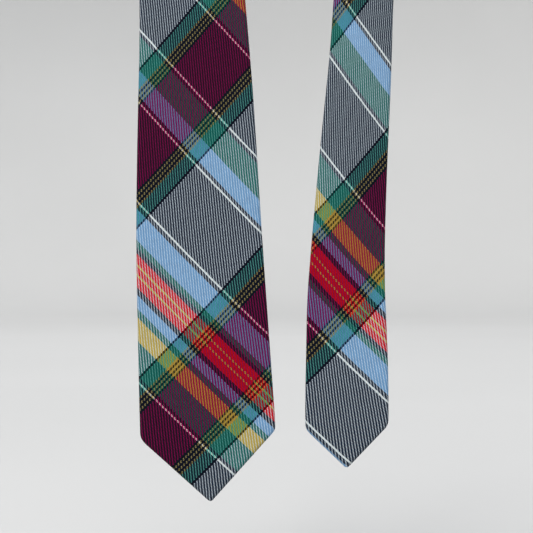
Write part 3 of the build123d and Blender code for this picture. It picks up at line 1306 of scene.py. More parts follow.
@dataclass
class EndShell:
    """The plaid shell of one hanging end, folded from its point up past the seam to the neckband."""

    end: HangingEnd
    point_rows: int = 12
    point_run: float = 5.0 * MM
    hem_step: float = 1.5 * MM
    past_hem: float = 4.0 * MM
    row_step: float = 3.0 * MM
    seam_steps: tuple[float, ...] = (-3.0, -1.5, -0.7, 0.0, 0.7, 1.5, 3.0)  # millimetres from the seam
    seam_groove: float = 0.45 * MM
    point_depth: float = 2.4 * MM  # half the width over which the point grows to full depth
    roll_slope: float = 0.5  # keeps a roll small where the outline is nearly level
    roll_share: float = 0.98  # of half the width, at most
    ripple: float = 0.5 * MM
    ripples: float = 22.0  # per metre
    calm_from: float = 50.0 * MM  # below the seam, where the ripple starts to fade
    calm_to: float = 20.0 * MM
    hem_margin: float = 1.3 * MM
    lap_from: float = 2.0 * MM  # below the opening's top, where the flaps start to lap
    lap_to: float = 16.0 * MM  # above it, where they lap in full
    cut_share: float = 2.35  # the cut panel's width for the end's: front, flaps, turned edges and spare

    @property
    def inward(self) -> int:
        """The way in X towards the tie's other end."""
        return -self.end.side

    def rises(self) -> list[float]:
        """Heights of the rows above the sharp point, close together round the point.

        Returns:
            The heights, from the lowest one.
        """
        end = self.end
        low = end.lowest() + LAYERS.drawn_cloth / 2
        rises = [low + (t / self.point_rows) ** 2 * self.point_run for t in range(self.point_rows + 1)]
        corner = max(end.shoulders.values()) + end.hem + self.past_hem
        while rises[-1] < corner:
            rises.append(rises[-1] + self.hem_step)
        seam_rows = [end.length + step * MM for step in self.seam_steps]
        count = round((seam_rows[0] - rises[-1]) / self.row_step)
        rises += spread(rises[-1], seam_rows[0], count)[:-1] + seam_rows
        top = end.length + PAST_SEAM
        return rises + spread(rises[-1], top, round((top - rises[-1]) / self.row_step))

    def lay(self, rise: float, inward: float, back: float) -> Vector:
        """A place from a height above the point, inward from the row's middle, and behind it."""
        centre = (self.end.edge(-1, rise) + self.end.edge(1, rise)) / 2
        return self.end.place(centre + self.inward * inward, rise, back)

    def flap_edges(self, rise: float, sides: dict[int, float], centre: float) -> tuple[float, float, float]:
        """Where the two flaps' edges lie.

        Args:
            rise: height above the point.
            sides: X of the outline's left (-1) and right (+1) edge.
            centre: X of the row's middle.

        Returns:
            The outer and inner flap edges, inward from the middle, and how far they lap (0 to 1).
        """
        end = self.end
        middle = (end.middle(rise) - centre) * self.inward
        lapped = ease(end.opening_rise - self.lap_from, end.opening_rise + self.lap_to, rise)
        edges = {}
        for hand, edge in sides.items():
            start = end.hem / math.sin(end.half_point)
            corner = end.shoulders[hand] + end.hem
            full = abs(end.edge(hand, corner) - end.middle(corner)) - self.hem_margin
            if rise <= corner:
                apart = full * max(0.0, (rise - start) / (corner - start))
            else:
                apart = full * max(0.0, (end.opening_rise - rise) / (end.opening_rise - corner))
            edges[hand] = min(apart, max(abs(edge - end.middle(rise)) - self.hem_margin, 0.0))
        outer_edge = middle - edges[-self.inward] + FOLD.lap * lapped
        inner_edge = middle + edges[self.inward] - FOLD.under * lapped
        return outer_edge, inner_edge, lapped

    def row(self, rise: float) -> tuple[list[Vector], list[tuple]]:
        """One row of the shell.

        Args:
            rise: its height above the sharp point.

        Returns:
            Its points, and for each the flat facts that its thread count needs.
        """
        end = self.end
        normals = {hand: end.outward(hand, rise) for hand in (-1, 1)}
        sides = {hand: end.inset_edge(hand, rise, LAYERS.drawn_cloth / 2) for hand in (-1, 1)}
        centre, half = (sides[-1] + sides[1]) / 2, max((sides[1] - sides[-1]) / 2, 0.0)
        depth = LAYERS.half * math.sqrt(1 - max(0.0, 1 - half / self.point_depth) ** 2)
        depth -= self.seam_groove * math.exp(-(((rise - end.length) / MM) ** 2))
        rolls = []
        for hand in (-self.inward, self.inward):
            slope = max(abs(normals[hand].x), self.roll_slope)
            rolls.append(min(depth / slope, half * self.roll_share))
        outer_edge, inner_edge, lapped = self.flap_edges(rise, sides, centre)
        points, facts = [], []
        calm = 1 - ease(end.length - self.calm_from, end.length - self.calm_to, rise)
        for inward, back, zone, angle in FOLD.section(half, rolls, depth, (outer_edge, inner_edge), lapped):
            x = centre + self.inward * inward
            place = end.place(x, rise, back)
            place.y += self.ripple * calm * noise.noise(Vector((x, 0.0, rise)) * self.ripples)
            points.append(place)
            facts.append((x, back, zone * self.inward, angle, depth, sides, normals))
        return points, facts

    def flat_place(self, rise: float, fact: tuple, hem_below: bool) -> Point2:
        """Where a point of the folded shell lies on the flat cloth.

        Args:
            rise: the row's height above the point.
            fact: the point's flat facts.
            hem_below: true in the hem's rows, where the cloth folds over the sloping edge.

        Returns:
            Metres along from the point and to the right of the middle line.
        """
        x, _back, zone, angle, depth, sides, normals = fact
        end = self.end
        along, across = rise, x - end.middle(rise)
        if zone == 0:
            return along, across
        hand = 1 if zone > 0 else -1
        normal = normals[hand] if hem_below or abs(zone) == 1 else Vector((hand, 0.0))
        if abs(zone) == 1:
            shift = depth * (angle - math.sin(angle))
        else:
            inside = abs(sides[hand] - x) * abs(normal.x)
            shift = 2 * max(inside - depth, 0.0) + math.pi * depth
        return along + normal.y * shift, across + normal.x * shift

    def threads(self, rise: float, fact: tuple, hem_below: bool, above_seam: bool) -> Point2:
        """Thread counts of a point of the shell.

        Args:
            rise: the row's height above the point.
            fact: the point's flat facts.
            hem_below: true in the hem's rows.
            above_seam: true in the rows of the neckband's own panel.

        Returns:
            Warp and weft counts, as the UV map holds them.
        """
        along, across = self.flat_place(rise, fact, hem_below)
        if above_seam:
            distance = self.inward * (NECK.length - (along - self.end.length))
            return NECK_GRAIN.threads(distance, across * self.inward)
        return self.end.grain.threads(along, across)

    def flat_area(self, rises: Sequence[float]) -> float:
        """Area of the cloth before it was folded.

        Args:
            rises: heights of its rows.

        Returns:
            The area, in square metres.
        """
        total = 0.0
        for low, high in zip(rises, rises[1:]):
            _, facts = self.row((low + high) / 2)
            run = sum(math.dist(a[:2], b[:2]) for a, b in zip(facts, facts[1:]))
            total += run * (high - low)
        return total

    def strip_threads(self, rises: Sequence[float], facts: Sequence[list[tuple]]) -> list[tuple]:
        """Thread counts along both rows of each strip of cloth.

        Args:
            rises: heights of the rows.
            facts: for each row, its points' flat facts.

        Returns:
            For each strip, the counts along its lower and its upper row.
        """
        corner = max(self.end.shoulders.values()) + self.end.hem
        strips = []
        for k in range(len(rises) - 1):
            hem_below = rises[k + 1] <= corner + SAME_PLACE
            above = rises[k] >= self.end.length - SAME_PLACE
            pair = []
            for row in (k, k + 1):
                pair.append([self.threads(rises[row], fact, hem_below, above) for fact in facts[row]])
            strips.append(tuple(pair))
        return strips

    def build(self, wardrobe: Wardrobe) -> Piece:
        """Makes the piece.

        Args:
            wardrobe: makes its material.

        Returns:
            The piece.
        """
        end = self.end
        rises = self.rises()
        rows, facts = zip(*(self.row(rise) for rise in rises))
        cloth = ClothMesh(f"{end.name}_wool_shell")
        cloth.add_rows(rows, self.strip_threads(rises, facts))
        piece = cloth.build(thickness=LAYERS.drawn_cloth)
        wardrobe.dress(piece, Finish.PLAID)
        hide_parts(f"{end.name}_shell")
        blend_over_seam(piece, end)
        area = self.flat_area(rises)
        widest = self.cut_share * max(w for _, w in end.widths)
        return piece


def blend_over_seam(piece: Piece, end: HangingEnd) -> None:
    """Bakes a piece's placement into its mesh."""
    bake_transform(piece)


@dataclass
class NeckShell:
    """The plaid shell of the neckband, from one end's piece to the other's."""

    blade: HangingEnd
    tail: HangingEnd
    row_step: float = 2.2 * MM

    def flat_stations(self) -> list[float]:
        """Distances of the rows from the nape.

        Returns:
            The distances, from the tail's side (negative) to the blade's.
        """
        reach = NECK.length - PAST_SEAM
        return [-reach] + spread(-reach, reach, round(2 * reach / self.row_step))

    @staticmethod
    def lay(distance: float, inward: float, back: float) -> Vector:
        """A place from a distance from the nape, inward from the middle, and behind it."""
        return NECK.lay(distance, inward, -back)

    def row(self, distance: float) -> tuple[list[Vector], list[Point2], float]:
        """One row of the neckband's shell.

        Args:
            distance: from the nape, positive on the blade's side.

        Returns:
            Its points, their thread counts, and how wide its cloth is when it lies flat.
        """
        end = self.blade if distance > 0 else self.tail
        half = NECK.width(abs(distance), end.hinge_width) / 2 - LAYERS.drawn_cloth / 2
        depth = LAYERS.half
        flaps = (FOLD.lap, -FOLD.under)
        points, counts, girth = [], [], 0.0
        last = None
        for inward, back, zone, angle in FOLD.section(half, (depth, depth), depth, flaps, 1.0):
            points.append(self.lay(distance, inward, back))
            girth += math.dist(last, (inward, back)) if last else 0.0
            last = (inward, back)
            hand = 1 if zone > 0 else -1
            shift = 0.0
            if abs(zone) == 1:
                shift = depth * (angle - math.sin(angle))
            elif zone:
                shift = 2 * max(half - hand * inward - depth, 0.0) + math.pi * depth
            counts.append(NECK_GRAIN.threads(distance, inward + hand * shift))
        return points, counts, girth

    def build(self, wardrobe: Wardrobe) -> Piece:
        """Makes the piece, on the neckband.

        Args:
            wardrobe: makes its material.

        Returns:
            The piece.
        """
        stations = self.flat_stations()
        rows = [self.row(distance) for distance in stations]
        cloth = ClothMesh("neck_wool_shell")
        cloth.add_rows([row[0] for row in rows], [(a[1], b[1]) for a, b in zip(rows, rows[1:])])
        piece = cloth.build(thickness=LAYERS.drawn_cloth)
        wardrobe.dress(piece, Finish.PLAID)
        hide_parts("neck_shell")
        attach(piece, "neckband")
        return piece


@dataclass
class Layup:
    """The felt and the satin tipping that lie inside one hanging end."""

    shell: EndShell
    columns: int = 28
    past_corner: float = 8.0 * MM
    corner_step: float = 1.5 * MM
    felt_step: float = 6.0 * MM
    felt_inset: float = 1.5 * MM
    felt_thickness: float = 1.6 * MM
    lining_step: float = 2.5 * MM
    lining_inset: float = 1.9 * MM
    lining_depth: float = 0.72 * MM
    puff: float = 0.85 * MM
    puff_width: float = 0.72  # of half the lining's width
    puff_from: float = 10.0 * MM  # above the rounded point
    puff_to: float = 6.0 * MM  # above the right shoulder
    puff_fades_from: float = 26.0 * MM  # below the opening's top
    puff_fades_to: float = 4.0 * MM
    wrinkle: float = 0.6 * MM
    wrinkles_across: Point2 = (3.0, -1.5)  # for half the width
    wrinkles_up: Point2 = (30.0, 55.0)  # per metre

    def sheet_rows(
        self, rises: Sequence[float], inset: float, depth: Callable[[float, float], float]
    ) -> tuple[list[list[Vector]], list[list[Point2]]]:
        """Rows of a flat sheet cut to the outline.

        Args:
            rises: heights of its rows above the point.
            inset: how far inside the outline its edge lies.
            depth: from (share of half the width, height), how far behind the middle plane.

        Returns:
            Rows of points, and for each row the UVs, in metres.
        """
        end = self.shell.end
        rows, counts = [], []
        for rise in rises:
            ends = [end.inset_edge(hand, rise, inset) for hand in (-1, 1)]
            centre, half = sum(ends) / 2, max((ends[1] - ends[0]) / 2, 0.0)
            shares = [2 * k / self.columns - 1 for k in range(self.columns + 1)]
            rows.append([end.place(centre + share * half, rise, depth(share, rise)) for share in shares])
            counts.append([(centre + share * half, rise) for share in shares])
        return rows, counts

    def rises(self, low: float, high: float, step: float) -> list[float]:
        """Heights of a sheet's rows, closer together at the sloping edges.

        Args:
            low: the lowest one.
            high: the highest one.
            step: between two of them, above the sloping edges.

        Returns:
            The heights.
        """
        corner = max(self.shell.end.shoulders.values()) + self.past_corner
        sloped = min(corner, high)
        count = max(2, round((sloped - low) / self.corner_step))
        more = round(max(high - corner, 0) / step)
        return [low] + spread(low, sloped, count) + spread(corner, high, more)

    @staticmethod
    def area(counts: Sequence[Sequence[Point2]]) -> float:
        """Flat area of a sheet.

        Args:
            counts: for each row the UVs, in metres.

        Returns:
            The area, in square metres.
        """
        total = 0.0
        for low, high in zip(counts, counts[1:]):
            widths = [row[-1][0] - row[0][0] for row in (low, high)]
            total += sum(widths) / 2 * (high[0][1] - low[0][1])
        return total

    def build_felt(self, wardrobe: Wardrobe) -> Piece:
        """Makes the interlining, from near the point to past the seam.

        Args:
            wardrobe: makes its material.

        Returns:
            The piece.
        """
        end = self.shell.end
        low = end.lowest() + self.felt_inset / math.sin(end.half_point)
        rises = self.rises(low, end.length + PAST_SEAM - FELT_SHORT, self.felt_step)
        rows, counts = self.sheet_rows(rises, self.felt_inset, lambda _share, _rise: FELT_DEPTH)
        cloth = ClothMesh(f"{end.name}_felt")
        cloth.add_rows(rows, zip(counts, counts[1:]))
        piece = cloth.build(thickness=self.felt_thickness)
        wardrobe.dress(piece, Finish.INTERLINING)
        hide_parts(f"{end.name}_interlining")
        blend_over_seam(piece, end)
        area = self.area(counts)
        flat = (max(w for _, w in end.widths), rises[-1] - rises[0])
        return piece

    def puffed(self, share: float, rise: float) -> float:
        """How deep the lining lies: it swells a little into the open kite at the back.

        Args:
            share: of half the width, from the middle.
            rise: height above the sharp point.

        Returns:
            How far behind the middle plane it is.
        """
        end = self.shell.end
        up = ease(end.lowest() + self.puff_from, end.shoulders[1] + self.puff_to, rise)
        top = end.opening_rise
        up *= 1 - ease(top - self.puff_fades_from, top - self.puff_fades_to, rise)
        x, z = (share * a + rise * b for a, b in zip(self.wrinkles_across, self.wrinkles_up))
        swell = self.puff + self.wrinkle * noise.noise(Vector((x, 0.0, z)))
        return self.lining_depth + swell * up * max(0.0, 1 - (share / self.puff_width) ** 2)

    def build_lining(self, wardrobe: Wardrobe) -> Piece:
        """Makes the satin tipping that shows in the open kite at the back of the point.

        Args:
            wardrobe: makes its material.

        Returns:
            The piece.
        """
        end = self.shell.end
        low = end.lowest() + self.lining_inset / math.sin(end.half_point)
        rises = self.rises(low, end.tipping_rise, self.lining_step)
        rows, counts = self.sheet_rows(rises, self.lining_inset, self.puffed)
        cloth = ClothMesh(f"{end.name}_lining")
        cloth.add_rows(rows, zip(counts, counts[1:]))
        piece = cloth.build(thickness=LAYERS.tipping)
        wardrobe.dress(piece, Finish.LINING)
        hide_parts(f"{end.name}_tipping")
        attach(piece, end.name)
        flat = (max(w for _, w in end.widths), rises[-1] - rises[0])
        self.area(counts)
        return piece


@dataclass
class NeckFelt:
    """The interlining inside the neckband."""

    inset: float = 2.2 * MM
    thickness: float = 1.2 * MM
    columns: int = 24
    step: float = 2.0 * MM

    def build(self, blade: HangingEnd, tail: HangingEnd, wardrobe: Wardrobe) -> Piece:
        """Makes the piece, on the neckband.

        Args:
            blade: the wide end.
            tail: the narrow end.
            wardrobe: makes its material.

        Returns:
            The piece.
        """
        reach = NECK.length - PAST_SEAM - FELT_SHORT
        rows, counts = [], []
        for distance in [-reach] + spread(-reach, reach, round(2 * reach / self.step)):
            end = blade if distance > 0 else tail
            half = NECK.width(abs(distance), end.hinge_width) / 2 - self.inset
            places = [half * (2 * c / self.columns - 1) for c in range(self.columns + 1)]
            rows.append([NECK.lay(distance, inward, -FELT_DEPTH) for inward in places])
            counts.append([(inward, distance) for inward in places])
        cloth = ClothMesh("neck_felt")
        cloth.add_rows(rows, zip(counts, counts[1:]))
        piece = cloth.build(thickness=self.thickness)
        wardrobe.dress(piece, Finish.INTERLINING)
        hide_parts("neck_interlining")
        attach(piece, "neckband")
        widths = [row[-1][0] - row[0][0] for row in counts]
        return piece


BACKWARD = Vector((0, 1, 0))


@dataclass(frozen=True)
class Stitch:
    """One stitch: where it goes in and comes out, the way off the cloth, and how thick it is."""

    start: Vector
    finish: Vector
    off: Vector
    thickness: float
    bow: float = 0.3  # how far its middle stands off, in thicknesses


class Needle:
    """Sews rows of stitches, all copies of one rounded thread."""

    def __init__(self, wardrobe: Wardrobe) -> None:
        """Models the one stitch: a ball drawn out to a thread with rounded ends.

        Args:
            wardrobe: makes the thread's material.
        """
        self.wardrobe = wardrobe
        deselect_all()
        bpy.ops.mesh.primitive_uv_sphere_add(segments=8, ring_count=6, radius=0.5)
        ball = bpy.context.object
        bpy.ops.object.mode_set(mode="EDIT")
        bpy.ops.mesh.select_all(action="SELECT")
        bpy.ops.transform.resize(value=(1.0, 1.0, 2.0))
        bpy.ops.object.mode_set(mode="OBJECT")
        self.shape = ball.data.copy()
        bpy.data.objects.remove(ball)

    @staticmethod
    def placed(stitch: Stitch, at: Vector) -> Vector:
        """Where a point of the one stitch comes to lie.

        Args:
            stitch: the stitch to sew.
            at: the point, with Z from -1 to 1 along the thread.

        Returns:
            Its place on the tie.
        """
        run = stitch.finish - stitch.start
        along = run.normalized()
        off = (stitch.off - along * stitch.off.dot(along)).normalized()
        side = along.cross(off)
        half = run.length / 2 + stitch.thickness / 4
        body = stitch.start.lerp(stitch.finish, 0.5) + along * (at.z * half)
        bow = stitch.bow * stitch.thickness * (1 - at.z * at.z)
        return body + side * (at.x * stitch.thickness) + off * (at.y * stitch.thickness + bow)

    def sew(self, name: str, stitches: Iterable[Stitch], slot: str = "sewing_thread") -> Piece:
        """Makes one piece from many stitches.

        Args:
            name: the piece's name.
            stitches: the stitches.
            slot: the record's material slot; not used.

        Returns:
            The piece, dressed and not yet on a body.
        """
        vertices, faces = [], []
        for stitch in stitches:
            first = len(vertices)
            vertices += [self.placed(stitch, v.co) for v in self.shape.vertices]
            faces += [tuple(first + v for v in polygon.vertices) for polygon in self.shape.polygons]
        mesh = bpy.data.meshes.new(name)
        mesh.from_pydata(vertices, [], faces)
        piece = bpy.data.objects.new(name, mesh)
        bpy.context.collection.objects.link(piece)
        face_outward(piece)
        for polygon in piece.data.polygons:
            polygon.use_smooth = True
        self.wardrobe.dress(piece, Finish.THREAD)
        return piece


@dataclass
class BackSeam:
    """The slip stitches up the back, the bar tack that ends them, and the loop of slack thread."""

    needle: Needle
    spacing: float = 5.2 * MM
    reach: float = 1.5 * MM
    thread: float = 0.42 * MM
    off_cloth: float = 0.05 * MM
    past_opening: float = 14.0 * MM
    end_gap: float = 4.0 * MM
    neck_gap: float = 3.0 * MM
    tack_width: float = 9.0 * MM
    tack_height: float = 1.9 * MM
    tack_threads: int = 17
    tack_thread: float = 0.6 * MM
    tack_bow: float = 0.8
    tack_unevenness: float = 0.06  # of a thread's length
    tack_lean: float = 0.12 * MM
    loop_steps: int = 26
    loop_thread: float = 0.45 * MM
    loop_wave: float = 0.15 * MM
    loop_width: Point2 = (0.42, 0.10)  # of the box: in the middle, and what it gains higher up
    loop_height: float = 0.47  # of the box, above its middle and below it
    loop_pinch: float = 0.5  # how much narrower it is at its top

    def across_lap(self, lay: Callable[[float, float, float], Vector], at: float, off: Vector) -> Stitch:
        """One slip stitch that climbs from the inner flap on to the outer flap's turned edge.

        Args:
            lay: places a point from a station along the tie, inward from its middle, and behind it.
            at: the station.
            off: the way off the cloth.

        Returns:
            The stitch.
        """
        depth = LAYERS.half + LAYERS.drawn_cloth / 2
        low = lay(at, FOLD.lap + self.reach * 0.55, depth + self.off_cloth)
        high = lay(at + self.reach / 2, FOLD.lap - self.reach * 0.4, depth + FOLD.lift + self.off_cloth)
        return Stitch(low, high, off, self.thread)

    def sew_end(self, shell: EndShell) -> list[Piece]:
        """Sews the seam, tack and slack loop of one hanging end.

        Args:
            shell: the end's shell.

        Returns:
            The three pieces.
        """
        end = shell.end
        start = end.opening_rise + self.past_opening
        count = int((end.length + PAST_SEAM - self.end_gap - start) / self.spacing)
        seam = self.needle.sew(
            f"{end.name}_slip_stitches",
            [self.across_lap(shell.lay, start + self.spacing * k, BACKWARD) for k in range(count)],
        )
        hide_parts(f"{end.name}_slip_stitch")
        blend_over_seam(seam, end)
        return [seam, self.bar_tack(shell), self.slack_loop(end)]

    def bar_tack(self, shell: EndShell) -> Piece:
        """Sews the close bar of threads that ends the seam.

        Args:
            shell: the end's shell.

        Returns:
            The piece.
        """
        end = shell.end
        low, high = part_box(f"{end.name}_bar_tack")
        middle = shell.lay((low.z + high.z) / 2 - end.hinge.z + end.length, FOLD.lap * 0.6, 0.0)
        depth = end.hinge.y + LAYERS.half + LAYERS.drawn_cloth / 2 + FOLD.lift * 0.55
        stitches = []
        for k in range(self.tack_threads):
            x = middle.x + self.tack_width * (k / (self.tack_threads - 1) - 0.5)
            half = self.tack_height / 2 * (1.0 + self.tack_unevenness * math.sin(k * 2.7))
            lean = self.tack_lean * math.sin(k * 1.9)
            lower, upper = (Vector((x + way * lean, depth, middle.z + way * half)) for way in (-1, 1))
            stitches.append(Stitch(lower, upper, BACKWARD, self.tack_thread, self.tack_bow))
        tack = self.needle.sew(f"{end.name}_tack", stitches)
        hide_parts(f"{end.name}_bar_tack")
        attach(tack, end.name)
        return tack

    def slack_loop(self, end: HangingEnd) -> Piece:
        """Lays the loop of spare thread that lets the slip stitch slide.

        Args:
            end: the end that it is on.

        Returns:
            The piece.
        """
        low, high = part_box(f"{end.name}_slack_loop")
        width, height = high.x - low.x, high.z - low.z
        middle = (low + high) / 2
        points = []
        for k in range(self.loop_steps + 1):
            angle = 2 * math.pi * (k / self.loop_steps) - math.pi / 2
            upward = math.sin(angle)
            across = math.cos(angle) * (self.loop_width[0] + self.loop_width[1] * upward)
            x = width * across * (1 - self.loop_pinch * ease(0.6, 1.0, upward))
            y = self.loop_wave * math.cos(2 * angle)
            points.append(middle + Vector((x, y, height * self.loop_height * upward)))
        stitches = [Stitch(a, b, BACKWARD, self.loop_thread, 0.0) for a, b in zip(points, points[1:])]
        loop = self.needle.sew(f"{end.name}_spare_thread", stitches)
        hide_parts(f"{end.name}_slack_loop")
        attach(loop, end.name)
        return loop

    def sew_neck(self, shell: NeckShell) -> Piece:
        """Sews the seam of the neckband.

        Args:
            shell: the neckband's shell.

        Returns:
            The piece.
        """
        reach = NECK.length - PAST_SEAM - self.neck_gap
        stitches = []
        for k in range(int(2 * reach / self.spacing)):
            at = -reach + self.spacing * k
            off = shell.lay(at, FOLD.lap, 5 * MM) - shell.lay(at, FOLD.lap, 0.0)
            stitches.append(self.across_lap(shell.lay, at, off))
        seam = self.needle.sew("neck_slip_stitches", stitches)
        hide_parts("neck_slip_stitch")
        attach(seam, "neckband")
        return seam


@dataclass
class JoiningSeam:
    """The sewn line where an end's cloth meets the neckband's."""

    needle: Needle
    spacing: float = 1.9 * MM
    thread: float = 0.28 * MM
    sunk: float = 0.42 * MM
    from_edge: float = 2.5 * MM
    covered: Point2 = (-7.0 * MM, 3.0 * MM)  # at the back, where the lap lies over the groove
    drawn: float = 0.72  # of the spacing
    bow: float = 0.2

    def build(self, shell: EndShell) -> Piece:
        """Sews small stitches down in the groove, front and back.

        Args:
            shell: the end's shell.

        Returns:
            The piece.
        """
        end = shell.end
        half = end.hinge_width / 2 - self.from_edge
        stitches = []
        for way in (-1, 1):
            for k in range(int(2 * half / self.spacing)):
                x = -half + self.spacing * k
                if way > 0 and self.covered[0] < x < self.covered[1]:
                    continue
                crown = LAYERS.crown * (1 - (x / half) ** 2) if way < 0 else 0.0
                level = LAYERS.half + LAYERS.drawn_cloth / 2 - self.sunk + crown
                start = shell.lay(end.length, x, way * level)
                finish = shell.lay(end.length, x + self.spacing * self.drawn, way * level)
                stitches.append(Stitch(start, finish, BACKWARD * way, self.thread, self.bow))
        piece = self.needle.sew(f"{end.name}_joining_stitches", stitches)
        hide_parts(f"{end.name}_neck_seam")
        blend_over_seam(piece, end)
        return piece


@dataclass
class Keeper:
    """The self-cloth band on the blade's back that the tail is passed through."""

    needle: Needle
    width: float = 14.0 * MM
    pad: float = 5.0 * MM
    ramp: float = 3.4 * MM
    band: float = 1.5 * MM
    rows: int = 60
    around: int = 32
    sag: float = 0.10 * MM
    slant: float = 0.35 * MM
    tack_threads: int = 18
    tack_inset: Point2 = (2.0 * MM, 2.2 * MM)  # from the band's ends, and from its long edges
    tack_half: float = 0.75 * MM
    tack_unevenness: float = 0.08  # of a thread's length
    tack_thread: float = 0.5 * MM
    tack_bow: float = 0.5

    def profile(self, away: float, half: float, lift: float) -> float:
        """How far the band stands off the tie's back, at a distance from its middle."""
        free = half - self.pad
        return lift * (1 - ease(free - self.ramp, free + 0.4 * MM, away))

    def build(self, wardrobe: Wardrobe, blade: HangingEnd) -> list[Piece]:
        """Makes the band and the bars that tack it down.

        Args:
            wardrobe: makes its material.
            blade: the wide end, which it is sewn to.

        Returns:
            The two pieces.
        """
        low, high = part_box("keeper_loop")
        middle, half = (low.x + high.x) / 2, (high.x - low.x) / 2
        level = (low.z + high.z) / 2
        floor = low.y + self.band / 2
        lift = high.y - low.y - self.band
        thick = (self.band - LAYERS.drawn_cloth) / 2
        rows, counts = [], []
        girth = 2 * (self.width - 2 * thick) + 2 * math.pi * thick
        for k in range(self.rows + 1):
            x = half * (2 * k / self.rows - 1)
            off = floor + self.profile(abs(x), half, lift)
            slant = self.slant * math.sin(x * 55)
            row, count = [], []
            for c in range(self.around + 1):
                rise, depth = self.around_band((c % self.around) / self.around, thick)
                sag = self.sag * math.sin(9.0 * (rise / self.width) + x * 90)
                row.append(Vector((middle + x, off + depth + sag, level + rise + slant)))
                count.append(KEEPER_GRAIN.threads(x, girth * (c / self.around)))
            rows.append(row)
            counts.append(count)
        cloth = ClothMesh("keeper_band")
        cloth.add_rows(rows, zip(counts, counts[1:]))
        band = cloth.build(thickness=LAYERS.drawn_cloth)
        wardrobe.dress(band, Finish.PLAID)
        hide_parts("keeper_loop")
        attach(band, "blade")
        length = sum(math.dist(a[0], b[0]) for a, b in zip(rows, rows[1:]))
        return [band, self.tacks((low, high), blade)]

    def around_band(self, share: float, thick: float) -> Point2:
        """A place round the flattened tube of the band.

        Args:
            share: of the way round.
            thick: half of the tube's thickness, at the middle of the cloth.

        Returns:
            Its rise and depth from the band's middle.
        """
        flat = self.width - 2 * thick - LAYERS.drawn_cloth
        girth = 2 * flat + 2 * math.pi * thick
        at = share * girth
        if at < flat:
            return at - flat / 2, -thick
        at -= flat
        if at < math.pi * thick:
            angle = at / thick
            return flat / 2 + thick * math.sin(angle), -thick * math.cos(angle)
        at -= math.pi * thick
        if at < flat:
            return flat / 2 - at, thick
        angle = (at - flat) / thick
        return -flat / 2 - thick * math.sin(angle), thick * math.cos(angle)

    def tacks(self, box: tuple[Vector, Vector], blade: HangingEnd) -> Piece:
        """Sews a close bar of stitches at each end of the band.

        Args:
            box: lowest and highest corner of the band's solid.
            blade: the wide end.

        Returns:
            The piece.
        """
        low, high = box
        from_end, from_edge = self.tack_inset
        stitches = []
        top = low.y + self.band + 0.05 * MM
        tall = high.z - low.z - 2 * from_edge
        for x in (low.x + from_end, high.x - from_end):
            for k in range(self.tack_threads):
                z = low.z + from_edge + tall * k / (self.tack_threads - 1)
                half = self.tack_half * (1 + self.tack_unevenness * math.sin(k * 2.3 + x * 900))
                start, finish = Vector((x - half, top, z)), Vector((x + half, top, z))
                stitches.append(Stitch(start, finish, BACKWARD, self.tack_thread, self.tack_bow))
        piece = self.needle.sew("keeper_stitches", stitches)
        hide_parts("keeper_tacks")
        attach(piece, blade.name)
        return piece


